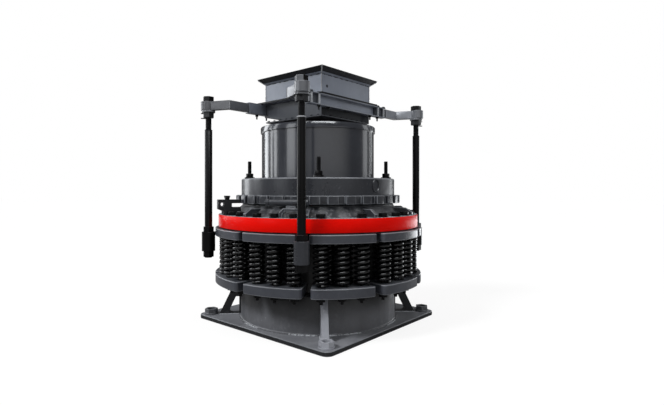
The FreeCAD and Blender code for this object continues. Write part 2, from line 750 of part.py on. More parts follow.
def make_socket(index, sign_x, sign_y):
    """The cast eye that holds a post's foot, and the lug between two upper segments that carries it."""
    body = new_body(f"post_socket_{index}")
    pitch = 360 / SIZES["groups"]
    aside = math.radians(SIZES["post_bearing"] - pitch) * sign_x * sign_y
    reach, off = post_circle() * round(math.cos(aside), 6), post_circle() * round(math.sin(aside), 6)
    low = socket_top() - size("socket_tall")
    eye = new_sketch(body, f"socket_{index}_eye_outline", height=low)
    add_circle(eye, reach, off, size("socket_radius"))
    pad(body, f"socket_{index}_eye", eye, size("socket_tall"))
    lug = new_sketch(body, f"socket_{index}_lug_outline", height=size("upper_segment_bottom"))
    half = size("lug_plate") / 2
    inner = waist_radius() + size("flange_collar") + size("seat_gap")
    end = reach - size("post_radius")
    add_outline(lug, [(inner, -half), (end, -half), (end, half), (inner, half)])
    pad(body, f"socket_{index}_lug", lug, size("socket_rise"))
    bore = new_sketch(body, f"socket_{index}_bore_outline", height=low)
    add_circle(bore, reach, off, size("post_radius") + size("eye_clearance"))
    doc.recompute()
    body.Tip = cut_through(body, f"socket_{index}_bore", bore)
    turn = math.radians(pitch)
    turned_about_z(body, math.degrees(math.atan2(math.sin(turn) * sign_y, math.cos(turn) * sign_x)))


def make_arm(index, sign_x, sign_y):
    """A forged arm with a flat tail inside the beam, bent out to the eye on a post."""
    body = new_body(f"post_arm_{index}")
    half = size("arm_bar") / 2
    line = size("box_half") + size("arm_line")
    x, y = post_place(1, 1)
    start, kink = size("arm_start"), x - size("arm_bend")
    mitre, skew = size("arm_mitre"), size("arm_skew")
    shoulder = size("beam_half") + size("arm_step")
    corners = [(start, line - half), (kink + mitre, line - half), (x + half, y - skew),
               (x - half, y + skew), (kink - mitre, line + half), (shoulder, line + half),
               (shoulder, line), (start, line)]
    along = math.hypot((x - kink).number, (y - line).number)
    eye_x = x + size("eye_reach") * round((x - kink).number / along, 6)
    eye_y = y + size("eye_reach") * round((y - line).number / along, 6)
    outline = new_sketch(body, f"arm_{index}_outline", height=arm_bottom())
    add_outline(outline, [(sign_x * px, sign_y * py) for px, py in corners])
    pad(body, f"arm_{index}_bar", outline, size("arm_deep"))
    eye = new_sketch(body, f"arm_{index}_eye_outline", height=arm_bottom())
    add_circle(eye, eye_x * sign_x, eye_y * sign_y, size("arm_eye"))
    pad(body, f"arm_{index}_eye", eye, size("arm_deep"))
    bore = new_sketch(body, f"arm_{index}_bore_outline", height=arm_bottom())
    add_circle(bore, x * sign_x, y * sign_y, size("post_neck") + size("eye_clearance"))
    doc.recompute()
    body.Tip = cut_through(body, f"arm_{index}_bore", bore)


def make_beam(index, sign_y):
    """A channel beam beside the feed box, open outwards."""
    body = new_body(f"box_beam_{index}")
    inner = size("box_half")
    outer = inner + size("beam_flange")
    skin = size("beam_skin")
    top, low = size("beam_top"), size("beam_top") - size("beam_deep")
    section = new_sketch(body, f"beam_{index}_section", "YZ_Plane")
    corners = [(inner, low), (outer, low), (outer, low + skin), (inner + skin, low + skin),
               (inner + skin, top - skin), (outer, top - skin), (outer, top), (inner, top)]
    add_outline(section, [(sign_y * px, pz) for px, pz in corners])
    channel = add_feature(body, "Pad", f"beam_{index}_channel", section, Midplane=True)
    bind(channel, "Length", size("beam_half") * 2)


def square(half):
    return [(-half, -half), (half, -half), (half, half), (-half, half)]


def make_square_tube(name, half, wall, low, tall):
    body = new_body(name)
    outline = new_sketch(body, f"{name}_outline", height=low)
    add_outline(outline, square(half))
    add_outline(outline, square(half - wall))
    pad(body, f"{name}_walls", outline, tall)
    return body


def open_box_corner(body):
    """A thin wedge is open over the floor, where two of the lower walls meet."""
    wedge = new_sketch(body, "corner_gap_outline", "YZ_Plane")
    low, corner = size("box_bottom"), size("box_half")
    add_outline(wedge, [
        (corner - size("corner_gap_run"), low), (corner, low), (corner, low + size("corner_gap"))])
    gap = add_feature(body, "Pocket", "corner_gap", wedge, Type="ThroughAll")
    doc.recompute()
    body.Tip = gap


def make_feed_box():
    """The square feed box: lower walls with a floor, a tie plate, upper walls and a flared lip."""
    wall = size("box_wall")
    half = size("box_half")
    tie_top = size("beam_top") + size("tie_thick")
    low_box = make_square_tube(
        "lower_box", half, wall, size("box_bottom"), size("beam_top") - size("box_bottom"))
    open_box_corner(low_box)
    make_square_tube("tie_plate", size("tie_half"), size("tie_half") - half + wall, size("beam_top"),
                     size("tie_thick"))
    make_square_tube("upper_box", half, wall, tie_top, size("box_top") - tie_top)
    floor = new_body("box_floor")
    plate = new_sketch(floor, "floor_outline", height=size("box_bottom") - wall)
    add_outline(plate, square(half))
    add_circle(plate, 0, 0, size("spout_radius") - wall)
    pad(floor, "floor_plate", plate, wall)
    tube = new_sketch(floor, "spout_outline", height=size("box_bottom") - wall - size("spout_tall"))
    add_circle(tube, 0, 0, size("spout_radius"))
    add_circle(tube, 0, 0, size("spout_radius") - wall)
    pad(floor, "spout_tube", tube, size("spout_tall"))
    lip = new_body("box_lip")
    low = new_sketch(lip, "lip_foot_outline", height=size("box_top"))
    add_outline(low, square(half))
    high = new_sketch(lip, "lip_mouth_outline", height=size("lip_top"))
    add_outline(high, square(size("lip_half")))
    loft = lip.newObject("PartDesign::AdditiveLoft", "lip_flare")
    loft.Profile = low
    loft.Sections = [high]
    loft.Ruled = True
    low_inside = new_sketch(lip, "lip_inner_foot_outline", height=size("box_top"))
    add_outline(low_inside, square(half - wall))
    high_inside = new_sketch(lip, "lip_inner_mouth_outline", height=size("lip_top"))
    add_outline(high_inside, square(size("lip_half") - wall))
    doc.recompute()
    hollow = lip.newObject("PartDesign::SubtractiveLoft", "lip_hollow")
    hollow.Profile = low_inside
    hollow.Sections = [high_inside]
    hollow.Ruled = True
    lip.Tip = hollow


POST_CORNERS = [(1, 1), (-1, 1), (-1, -1), (1, -1)]

make_base_plate()
make_foundation_bosses()
make_frame_shell()
make_frame_flange()
make_corner_gussets()
make_frame_hub()
make_crushing_head()
make_feed_plate()
make_segments("lower_segments", size("lower_segment_bottom"), size("lower_segment_thick"),
              size("lower_group_gap"))
make_segments("upper_segments", size("upper_segment_bottom"), size("upper_segment_thick"),
              size("upper_group_gap"))
make_outer_springs()
make_inner_springs()
make_adjusting_ring()
make_ring_lugs()
make_pawl()
make_ram()
make_bowl()
make_toothed_ring()
make_cap_and_collar()
make_cap_studs()
for number, (sign_x, sign_y) in enumerate(POST_CORNERS, 1):
    make_post(number, sign_x, sign_y)
    make_socket(number, sign_x, sign_y)
    make_arm(number, sign_x, sign_y)
for number, side in enumerate((1, -1), 1):
    make_beam(number, side)
make_feed_box()
doc.recompute()

sub_parts = [item for item in doc.Objects if item.TypeId in ("PartDesign::Body", "Part::Feature")]
for item in doc.Objects:
    if "Invalid" in item.State or "Error" in item.State:
        raise RuntimeError(f"{item.Name} failed: {item.State}")
for item in sub_parts:
    if item.Shape.isNull() or not item.Shape.isValid():
        raise RuntimeError(f"{item.Label} has no valid shape")

os.makedirs("parts", exist_ok=True)
for item in sub_parts:
    item.Shape.exportStep(os.path.join("parts", f"{item.Label}.step"))
    print(f"{item.Label}: {len(item.Shape.Solids)} solids, {item.Shape.Volume / 1e9:.5f} cubic metres")
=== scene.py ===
import math
import random

import bmesh
import bpy
from bpy.props import FloatProperty, FloatVectorProperty, IntProperty, PointerProperty
from mathutils import Matrix, Vector


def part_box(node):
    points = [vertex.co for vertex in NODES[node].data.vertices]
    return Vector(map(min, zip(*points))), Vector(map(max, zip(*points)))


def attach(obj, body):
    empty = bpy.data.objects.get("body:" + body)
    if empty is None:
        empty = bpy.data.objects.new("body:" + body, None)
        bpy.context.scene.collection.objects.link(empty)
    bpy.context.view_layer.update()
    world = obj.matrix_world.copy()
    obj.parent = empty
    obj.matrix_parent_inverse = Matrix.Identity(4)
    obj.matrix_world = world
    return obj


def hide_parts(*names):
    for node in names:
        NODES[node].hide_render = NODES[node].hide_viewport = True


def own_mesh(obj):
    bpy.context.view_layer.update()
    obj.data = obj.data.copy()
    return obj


bl_info = {
    "name": "Cone Crusher Dressing",
    "version": (1, 0, 0),
    "blender": (4, 5, 0),
    "location": "View3D > Sidebar > Crusher",
    "description": "Dresses a spring cone crusher with paint, coil springs, bolts, threads and weld beads",
    "category": "Object",
}

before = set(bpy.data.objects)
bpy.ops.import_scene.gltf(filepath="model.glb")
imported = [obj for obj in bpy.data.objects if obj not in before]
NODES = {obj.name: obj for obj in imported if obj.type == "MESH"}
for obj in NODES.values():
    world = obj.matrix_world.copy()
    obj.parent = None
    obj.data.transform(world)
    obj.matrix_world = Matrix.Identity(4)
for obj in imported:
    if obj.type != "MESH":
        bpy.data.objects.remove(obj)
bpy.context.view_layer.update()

# Heights and reaches in metres that many pieces share, and the way up
RING_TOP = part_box("adjusting_ring")[0][2] + 0.081
SEGMENT_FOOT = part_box("lower_segments")[0][2]
SPRING_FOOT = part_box("lower_segments")[1][2]
SPRING_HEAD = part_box("upper_segments")[0][2]
CAP_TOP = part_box("adjusting_cap")[1][2]
PLATE_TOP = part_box("base_plate")[1][2]
BOX_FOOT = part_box("lower_box")[0][2]
BOX_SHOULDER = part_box("upper_box")[1][2]
LIP_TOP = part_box("box_lip")[1][2]
BOX_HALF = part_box("upper_box")[1][0]
LIP_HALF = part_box("box_lip")[1][0]
POST_STEP = 1.288
UP = Vector((0, 0, 1))

# The springs stand in groups, and side by side in a group
GROUPS = 10
GROUP_TURN = math.radians(360 / GROUPS)
SPRING_TURN = math.radians(11)

# The bodies that pieces ride on
FIXED = "main_frame"
LIFTING = "release_ring"
TURNING = "turning_bowl"


# Sizes and colours that a user may change

class CrusherSizes(bpy.types.PropertyGroup):
    spring_turns: FloatProperty(
        name="Spring turns", description="Turns of each coil spring, with its two closed ends", default=8.714)
    spring_circle: FloatProperty(
        name="Spring circle", description="Radius of the outer ring of springs", default=0.640, unit="LENGTH")
    spring_radius: FloatProperty(
        name="Spring radius", description="Outer radius of an outer spring", default=0.0495, unit="LENGTH")
    spring_wire: FloatProperty(
        name="Spring wire", description="Diameter of an outer spring's bar", default=0.0195, unit="LENGTH")
    inner_circle: FloatProperty(
        name="Inner circle", description="Radius of the inner ring of springs", default=0.553, unit="LENGTH")
    inner_radius: FloatProperty(
        name="Inner spring radius", description="Outer radius of an inner spring", default=0.0415,
        unit="LENGTH")
    inner_wire: FloatProperty(
        name="Inner wire", description="Diameter of an inner spring's bar", default=0.0175, unit="LENGTH")
    bolt_across: FloatProperty(
        name="Spring bolt head", description="Size across the flats of a spring bolt", default=0.050,
        unit="LENGTH")
    bolt_tall: FloatProperty(
        name="Bolt head height", description="Height of a spring bolt's head", default=0.021, unit="LENGTH")
    thread_pitch: FloatProperty(
        name="Thread pitch", description="Pitch of the threads on the posts", default=0.006, unit="LENGTH")
    bead_width: FloatProperty(
        name="Weld bead", description="Width of the weld beads", default=0.010, unit="LENGTH")
    edge_round: FloatProperty(
        name="Edge rounding", description="Unit of rounding, of which each piece's edges have a number",
        default=0.001, unit="LENGTH")
    seed: IntProperty(name="Seed", description="Seed of the uneven beads and bolt turns", default=7)


class CrusherColours(bpy.types.PropertyGroup):
    paint: FloatVectorProperty(
        name="Frame paint", description="Colour of the grey gloss paint", subtype="COLOR",
        default=(0.034, 0.037, 0.046), min=0, max=1)
    box_paint: FloatVectorProperty(
        name="Feed box paint", description="Colour of the weathered feed box", subtype="COLOR",
        default=(0.190, 0.212, 0.260), min=0, max=1)
    ring_red: FloatVectorProperty(
        name="Ring red", description="Colour of the adjusting ring's rim", subtype="COLOR",
        default=(0.92, 0.004, 0.001), min=0, max=1)
    arm_paint: FloatVectorProperty(
        name="Arm paint", description="Colour of the pale worn arms", subtype="COLOR",
        default=(0.26, 0.275, 0.305), min=0, max=1)
    base_paint: FloatVectorProperty(
        name="Base paint", description="Colour of the base and the frame's shell", subtype="COLOR",
        default=(0.085, 0.088, 0.098), min=0, max=1)
    black: FloatVectorProperty(
        name="Black steel", description="Colour of the posts, studs and bolts", subtype="COLOR",
        default=(0.003, 0.003, 0.0035), min=0, max=1)
    spring_black: FloatVectorProperty(
        name="Spring black", description="Colour of the coil springs", subtype="COLOR",
        default=(0.003, 0.003, 0.0035), min=0, max=1)
    casting: FloatVectorProperty(
        name="Wear casting", description="Colour of the bare wear castings inside", subtype="COLOR",
        default=(0.16, 0.13, 0.11), min=0, max=1)
    bead: FloatVectorProperty(
        name="Weld bead", description="Colour of the paler weld beads", subtype="COLOR",
        default=(0.30, 0.31, 0.33), min=0, max=1)
    ledge: FloatVectorProperty(
        name="Ledge", description="Colour of the pale, dusty top of the red flange", subtype="COLOR",
        default=(0.24, 0.31, 0.33), min=0, max=1)
    pale_steel: FloatVectorProperty(
        name="Pale steel", description="Colour of bare steel and of fresh weld", subtype="COLOR",
        default=(0.42, 0.44, 0.47), min=0, max=1)
    dust: FloatVectorProperty(
        name="Dust", description="Colour of the pale dust on the ledges", subtype="COLOR",
        default=(0.33, 0.34, 0.36), min=0, max=1)
    floor: FloatVectorProperty(
        name="Floor", description="Colour of the plain floor", subtype="COLOR",
        default=(0.86, 0.86, 0.86), min=0, max=1)


# Materials

def group_tree(name, inputs, outputs):
    """A new node group with plain number inputs and its named outputs."""
    tree = bpy.data.node_groups.new(name, "ShaderNodeTree")
    for label, default in inputs:
        socket = tree.interface.new_socket(label, in_out="INPUT", socket_type="NodeSocketFloat")
        socket.default_value = default
    for label in outputs:
        tree.interface.new_socket(label, in_out="OUTPUT", socket_type="NodeSocketFloat")
    return tree, tree.nodes.new("NodeGroupInput"), tree.nodes.new("NodeGroupOutput")


def feed(tree, socket, value):
    """Sets a socket to a number, or links another node to it."""
    if isinstance(value, (int, float)):
        socket.default_value = value
    else:
        tree.links.new(value, socket)


def math_node(tree, operation, first, second, clamp=False):
    node = tree.nodes.new("ShaderNodeMath")
    node.operation = operation
    node.use_clamp = clamp
    feed(tree, node.inputs[0], first)
    feed(tree, node.inputs[1], second)
    return node.outputs[0]


def times(tree, first, second):
    return math_node(tree, "MULTIPLY", first, second)


def noise_node(tree, coordinates, scale, detail, rough):
    node = tree.nodes.new("ShaderNodeTexNoise")
    for label, value in (("Vector", coordinates), ("Scale", scale), ("Detail", detail), ("Roughness", rough)):
        feed(tree, node.inputs[label], value)
    return node.outputs["Fac"]


def spread_node(tree, value, low, high):
    """Spreads a value between two limits over 0 to 1."""
    node = tree.nodes.new("ShaderNodeMapRange")
    node.interpolation_type = "SMOOTHSTEP"
    for label, source in (("Value", value), ("From Min", low), ("From Max", high)):
        feed(tree, node.inputs[label], source)
    return node.outputs["Result"]


def build_dust_group():
    """Pale dust that settles in patches on faces that look up."""
    tree, entry, leave = group_tree(
        "Settled dust", [("Scale", 6.0), ("Amount", 0.5), ("Streaks", 0.15)], ["Mask"])
    place = tree.nodes.new("ShaderNodeTexCoord").outputs["Object"]
    shape = tree.nodes.new("ShaderNodeNewGeometry")
    parts = tree.nodes.new("ShaderNodeSeparateXYZ")
    tree.links.new(shape.outputs["Normal"], parts.inputs[0])
    upward = spread_node(tree, parts.outputs["Z"], 0.25, 0.95)
    patches = spread_node(tree, noise_node(tree, place, entry.outputs["Scale"], 6.0, 0.65), 0.38, 0.68)
    speck_scale = times(tree, entry.outputs["Scale"], 9.0)
    specks = spread_node(tree, noise_node(tree, place, speck_scale, 3.0, 0.6), 0.50, 0.72)
    settled = times(tree, upward, math_node(tree, "ADD", patches, specks, clamp=True))
    flat = times(tree, settled, entry.outputs["Amount"])
    spotted = times(tree, patches, specks)
    walls = times(tree, entry.outputs["Streaks"], spotted)
    tree.links.new(math_node(tree, "ADD", flat, walls, clamp=True), leave.inputs["Mask"])
    return tree


def build_paint_group():
    """Orange peel and brush waves of thick enamel, with uneven gloss."""
    tree, entry, leave = group_tree(
        "Enamel skin", [("Peel Scale", 90.0), ("Wave Scale", 5.0), ("Roughness", 0.25), ("Spread", 0.1)],
        ["Height", "Roughness", "Tone"])
    place = tree.nodes.new("ShaderNodeTexCoord").outputs["Object"]
    peel = noise_node(tree, place, entry.outputs["Peel Scale"], 2.0, 0.5)
    wave = noise_node(tree, place, entry.outputs["Wave Scale"], 5.0, 0.6)
    height = math_node(tree, "ADD", times(tree, peel, 0.35), wave)
    swing = times(tree, math_node(tree, "SUBTRACT", wave, 0.5), entry.outputs["Spread"])
    rough = math_node(tree, "ADD", entry.outputs["Roughness"], times(tree, swing, 2.0), clamp=True)
    tree.links.new(height, leave.inputs["Height"])
    tree.links.new(rough, leave.inputs["Roughness"])
    tree.links.new(wave, leave.inputs["Tone"])
    return tree


def build_wear_group():
    """Fine scratches and small chips in the paint."""
    tree, entry, leave = group_tree("Chips and scratches", [("Scale", 40.0), ("Amount", 0.3)], ["Mask"])
    place = tree.nodes.new("ShaderNodeTexCoord").outputs["Object"]
    fine = noise_node(tree, place, entry.outputs["Scale"], 8.0, 0.7)
    broad = noise_node(tree, place, times(tree, entry.outputs["Scale"], 0.12), 3.0, 0.5)
    chips = spread_node(tree, fine, 0.60, 0.70)
    chips = times(tree, chips, spread_node(tree, broad, 0.45, 0.62))
    tree.links.new(times(tree, chips, entry.outputs["Amount"]), leave.inputs["Mask"])
    return tree


def build_painted_shade_group():
    """Painted shade on walls under parts that overhang them, darkening from one height up to another."""
    tree, entry, leave = group_tree("Sheltered grime", [("Start", 0.3), ("End", 0.5)], ["Mask"])
    parts = tree.nodes.new("ShaderNodeSeparateXYZ")
    tree.links.new(tree.nodes.new("ShaderNodeTexCoord").outputs["Object"], parts.inputs[0])
    higher = spread_node(tree, parts.outputs["Z"], entry.outputs["Start"], entry.outputs["End"])
    tree.links.new(times(tree, higher, 0.92), leave.inputs["Mask"])
    return tree


GROUP_BUILDERS = {
    "Settled dust": build_dust_group,
    "Enamel skin": build_paint_group,
    "Chips and scratches": build_wear_group,
    "Sheltered grime": build_painted_shade_group,
}


def use_group(tree, name, **values):
    """Places a shared effect in a material, with its own values."""
    node = tree.nodes.new("ShaderNodeGroup")
    node.node_tree = bpy.data.node_groups.get(name) or GROUP_BUILDERS[name]()
    for label, value in values.items():
        node.inputs[label].default_value = value
    return node


def mix_colour(tree, factor, first, second):
    node = tree.nodes.new("ShaderNodeMix")
    node.data_type = "RGBA"
    for socket, value in ((node.inputs[0], factor), (node.inputs[6], first), (node.inputs[7], second)):
        if isinstance(value, tuple):
            socket.default_value = (*value, 1.0)
        else:
            tree.links.new(value, socket)
    return node.outputs[2]


def shaded(colour, amount):
    """A lighter or darker version of a colour."""
    return tuple(min(1.0, part * amount) for part in colour)


def enamel(name, colour, rough, coat, dust, streaks=0.06, chips=0.25, peel=0.10, tone=0.35, dust_scale=6.0,
           shine=0.5, grime=None):
    """A paint on steel or iron: enamel skin, chips and settled dust over one colour."""
    material = bpy.data.materials.new(name)
    material.use_nodes = True
    tree = material.node_tree
    shader = tree.nodes["Principled BSDF"]
    dust_colour = tuple(bpy.context.scene.crusher_colours.dust)
    skin = use_group(tree, "Enamel skin", Roughness=rough)
    settled = use_group(tree, "Settled dust", Scale=dust_scale, Amount=dust, Streaks=streaks)
    worn = use_group(tree, "Chips and scratches", Amount=chips)
    toned = mix_colour(tree, skin.outputs["Tone"], shaded(colour, 1 - tone), shaded(colour, 1 + tone))
    chipped = mix_colour(tree, worn.outputs["Mask"], toned, shaded(dust_colour, 0.8))
    dusty = mix_colour(tree, settled.outputs["Mask"], chipped, dust_colour)
    # Painted shade: the colour darkens from a start height up to an end height.
    if grime:
        shade_node = use_group(tree, "Sheltered grime", Start=grime[0], End=grime[1])
        dusty = mix_colour(tree, shade_node.outputs["Mask"], dusty, shaded(colour, 0.04))
    tree.links.new(dusty, shader.inputs["Base Color"])
    matt = times(tree, settled.outputs["Mask"], 0.5)
    matt = math_node(tree, "ADD", skin.outputs["Roughness"], matt, clamp=True)
    tree.links.new(matt, shader.inputs["Roughness"])
    bump = tree.nodes.new("ShaderNodeBump")
    bump.inputs["Strength"].default_value = peel
    bump.inputs["Distance"].default_value = 0.004
    tree.links.new(skin.outputs["Height"], bump.inputs["Height"])
    tree.links.new(bump.outputs["Normal"], shader.inputs["Normal"])
    shader.inputs["Specular IOR Level"].default_value = shine
    shader.inputs["Coat Weight"].default_value = coat
    shader.inputs["Coat Roughness"].default_value = 0.08
    return material


# Each finish: its slot, the colour it is mixed from, the share of that colour, and its paint's own values
FINISHES = {
    "Grey enamel": ("dark_paint", "paint", 0.8, dict(rough=0.30, coat=0.15, dust=0.25)),
    "Collar enamel": ("dark_paint", "paint", 1, dict(
        rough=0.20, coat=0.5, dust=0.2, streaks=0.0, chips=0.05, peel=0.05)),
    "Dusty enamel": ("dark_paint", "paint", 0.45, dict(
        rough=0.45, coat=0.05, dust=0.40, streaks=0.10, chips=0.3, peel=0.25)),
    # The flange top: dust, with a painted pale sheen.
    "Pale ledge": ("dark_paint", "ledge", 1, dict(rough=0.5, coat=0.0, dust=0.5, streaks=0.0, chips=0.4)),
    # Pale rounded edges: rubbed paint, and painted highlights where the edges catch the light.
    "Rubbed edge": ("dark_paint", "arm_paint", 0.62, dict(
        rough=0.35, coat=0.1, dust=0.3, streaks=0.1, chips=0.3, tone=0.6)),
    "Plate enamel": ("dark_paint", "base_paint", 2.0, dict(rough=0.42, coat=0.05, dust=0.3, streaks=0.05)),
    "Base enamel": ("dark_paint", "base_paint", 1, dict(rough=0.38, coat=0.08, dust=0.25, streaks=0.05)),
    # The frame shell darkens towards its top with painted shade under the spring segments.
    "Frame enamel": ("dark_paint", "base_paint", 1.1, dict(
        rough=0.40, coat=0.06, dust=0.3, streaks=0.16, chips=0.5, peel=0.2, tone=0.6, dust_scale=4.0,
        grime=(0.08, 0.25))),
    # A light copy of the base paint: painted light on the front gusset and the front boss.
    "Gusset enamel": ("dark_paint", "base_paint", 3.6, dict(rough=0.30, coat=0.2, dust=0.3, streaks=0.1)),
    # A dark copy of the base paint: painted shade on sides and under things, and the dark paint of the pawl
    # stand.
    "Edge enamel": ("dark_paint", "base_paint", 0.22, dict(
        rough=0.40, coat=0.0, dust=0.2, streaks=0.02, shine=0.3)),
    "Box enamel": ("box_paint", "box_paint", 1, dict(
        rough=0.38, coat=0.10, dust=0.3, streaks=0.12, chips=0.3, peel=0.2)),
    "Shaded enamel": ("box_paint", "box_paint", 0.22, dict(
        rough=0.45, coat=0.02, dust=0.2, streaks=0.05)),
    "Arm enamel": ("dark_paint", "arm_paint", 1, dict(
        rough=0.34, coat=0.2, dust=0.4, streaks=0.15, chips=0.3, peel=0.2, tone=0.30)),
    "Dull arm enamel": ("dark_paint", "arm_paint", 0.38, dict(
        rough=0.34, coat=0.2, dust=0.4, streaks=0.08, chips=0.3, peel=0.2)),
    "Nut enamel": ("black_steel", "arm_paint", 0.5, dict(rough=0.30, coat=0.4, dust=0.2, streaks=0.1)),
    # A very dark copy of the feed box paint: painted shade on the lip and on the lower box's -Y walls, and
    # the colour of the dark weld stitches.
    "Lip enamel": ("box_paint", "box_paint", 0.06, dict(
        rough=0.45, coat=0.0, dust=0.1, streaks=0.0, chips=0.03, shine=0.2)),
    "Segment enamel": ("dark_paint", "paint", 1.45, dict(
        rough=0.32, coat=0.1, dust=0.25, chips=0.35, peel=0.2)),
    "Ring red": ("red_paint", "ring_red", 1, dict(
        rough=0.32, coat=0.0, dust=0.02, streaks=0.0, chips=0.02, peel=0.06, tone=0.22, shine=0.06)),
    "Black steel": ("black_steel", "black", 1, dict(
        rough=0.30, coat=0.0, dust=0.05, streaks=0.0, chips=0.03, dust_scale=18.0, shine=0.16)),
    "Spring black": ("spring_steel", "spring_black", 1, dict(
        rough=0.24, coat=0.75, dust=0.0, streaks=0.0, chips=0.01, shine=0.12)),
    "Wear casting": ("wear_casting", "casting", 1, dict(
        rough=0.75, coat=0.0, dust=0.5, streaks=0.3, peel=0.6)),
    "Weld metal": ("dark_paint", "bead", 1, dict(
        rough=0.42, coat=0.1, dust=0.3, streaks=0.2, peel=0.5, tone=0.5)),
    "Pale steel": ("dark_paint", "pale_steel", 1, dict(
        rough=0.35, coat=0.2, dust=0.2, streaks=0.1, tone=0.3)),
}


def palette(name):
    """A finish of this machine, made when it is first asked for."""
    found = bpy.data.materials.get(name)
    if found:
        return found
    _, source, share, values = FINISHES[name]
    colour = getattr(bpy.context.scene.crusher_colours, source)
    return enamel(name, shaded(colour, share), **values)


# Mesh helpers

def placed(name, data):
    """A new object in the scene."""
    thing = bpy.data.objects.new(name, data)
    bpy.context.scene.collection.objects.link(thing)
    return thing


def finished_mesh(name, work, closed=True):
    """Turns a bmesh into a mesh; the faces of a closed one are made to look outwards."""
    if closed:
        bmesh.ops.recalc_face_normals(work, faces=work.faces)
    mesh = bpy.data.meshes.new(name)
    work.to_mesh(mesh)
    work.free()
    return mesh


def keep(name, work, finish, body, stands_for=(), smooth=40, closed=True):
    """Turns a bmesh into a named piece that rides on a body."""
    mesh = finished_mesh(name, work, closed)
    mesh.materials.append(palette(finish))
    mesh.shade_smooth()
    mesh.set_sharp_from_angle(angle=math.radians(smooth))
    piece = placed(name, mesh)
    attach(piece, body)
    if stands_for:
        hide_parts(*stands_for)
    return piece


def round_edges(piece, width):
    """Rounds a piece's sharp edges."""
    rounding = piece.modifiers.new("Rounded edges", "BEVEL")
    rounding.width = width
    rounding.segments = 2
    rounding.limit_method = "ANGLE"
    rounding.angle_limit = math.radians(32)
    rounding.harden_normals = True
    return rounding


def accent(piece, finish, chosen):
    """Gives the faces that a test picks a second finish."""
    piece.data.materials.append(palette(finish))
    slot = len(piece.data.materials) - 1
    for face in piece.data.polygons:
        if chosen(face.center, face.normal):
            face.material_index = slot


def dress(node, finish, body, rounding, edge=None):
    """A cleaned copy of a construction node in its finish, with rounded edges that may take a pale finish:
    rubbed paint, and painted highlights along the edges.
    """
    work = bmesh.new()
    work.from_mesh(NODES[node].data)
    bmesh.ops.remove_doubles(work, verts=work.verts, dist=0.00002)
    bmesh.ops.dissolve_limit(work, angle_limit=math.radians(0.3), verts=work.verts, edges=work.edges)
    piece = keep(f"{node}_dressed", work, finish, body, [node], closed=False)
    rounded = round_edges(piece, bpy.context.scene.crusher_sizes.edge_round * rounding)
    if edge:
        piece.data.materials.append(palette(edge))
        rounded.material = len(piece.data.materials) - 1
    return piece


def outline(work, profile, start=0.0):
    """A closed, upright outline of radius and height pairs: its corners and its edges."""
    turn = Matrix.Rotation(start, 3, "Z")
    corners = [work.verts.new(turn @ Vector((reach, 0.0, height))) for reach, height in profile]
    return corners, [work.edges.new(pair) for pair in zip(corners, corners[1:] + corners[:1])]


def spun(work, shape, angle, steps, climb=0.0, closed=False):
    """Spins a shape about Z, with a climb at each step, and gives the shape at the end."""
    return bmesh.ops.spin(
        work, geom=shape, cent=(0, 0, 0), axis=(0, 0, 1), dvec=(0, 0, climb), angle=angle, steps=steps,
        use_merge=closed, use_duplicate=False)["geom_last"]


def turned(work, profile, steps, start=0.0):
    """Spins an outline of radius and height pairs one full turn about Z."""
    corners, edges = outline(work, profile, start)
    spun(work, corners + edges, 2 * math.pi, steps, closed=True)


def turned_piece(name, profile, steps, finish, body, stands_for=(), matrix=Matrix.Identity(4)):
    """A round piece made from an outline, then moved by a matrix."""
    work = bmesh.new()
    turned(work, profile, steps)
    bmesh.ops.transform(work, matrix=matrix, verts=work.verts)
    return keep(name, work, finish, body, stands_for)


def bar(work, foot, head, tall, middle, sides, lie=Matrix.Identity(4)):
    """Adds a round bar whose foot and head may differ in radius."""
    bmesh.ops.create_cone(
        work, cap_ends=True, segments=sides, radius1=foot, radius2=head, depth=tall,
        matrix=Matrix.Translation(middle) @ lie)


def added(work, pattern, matrix):
    """Adds a copy of a small mesh to the work, moved by a matrix."""
    moved = pattern.copy()
    moved.transform(matrix)
    work.from_mesh(moved)
    bpy.data.meshes.remove(moved)


def hexagon_pattern(name, across, tall, washer, washer_tall, round_off=0.0015):
    """A hexagon head or nut on its round washer, which stands on z = 0."""
    work = bmesh.new()
    made = bmesh.ops.create_circle(work, cap_ends=True, segments=6, radius=across / math.sqrt(3))
    bmesh.ops.translate(work, verts=made["verts"], vec=(0, 0, washer_tall))
    lifted = bmesh.ops.extrude_face_region(work, geom=list(work.faces))
    top = [item for item in lifted["geom"] if isinstance(item, bmesh.types.BMVert)]
    bmesh.ops.translate(work, verts=top, vec=(0, 0, tall))
    bmesh.ops.bevel(
        work, geom=list(work.edges), offset=round_off, offset_type="OFFSET", segments=2, profile=0.5,
        affect="EDGES", material=-1)
    turned(work, [(0.0005, 0), (washer, 0), (washer, washer_tall * 0.8), (washer - 0.001, washer_tall),
                  (0.0005, washer_tall)], steps=24)
    return finished_mesh(name, work)


def wound(work, radius, wire, low, high, turns):
    """Winds one round bar into a compression spring with a closed turn at each end."""
    half = wire / 2
    ring = bmesh.ops.create_circle(work, cap_ends=False, segments=8, radius=half)["verts"]
    bmesh.ops.rotate(work, verts=ring, cent=(0, 0, 0), matrix=Matrix.Rotation(math.radians(90), 3, "X"))
    bmesh.ops.translate(work, verts=ring, vec=(radius - half, 0, low + half))
    shape = list(ring) + list({edge for vertex in ring for edge in vertex.link_edges})
    work.faces.new(ring)
    closed_rise = wire * 1.02
    open_rise = (high - low - wire) - 2 * closed_rise
    for count, climb in ((1, closed_rise), (turns - 2, open_rise), (1, closed_rise)):
        steps = max(3, round(count * 20))
        end = spun(work, shape, 2 * math.pi * count, steps, climb / steps)
        shape = [item for item in end if not isinstance(item, bmesh.types.BMFace)]
    last = [item for item in shape if isinstance(item, bmesh.types.BMEdge)]
    bmesh.ops.contextual_create(work, geom=last)


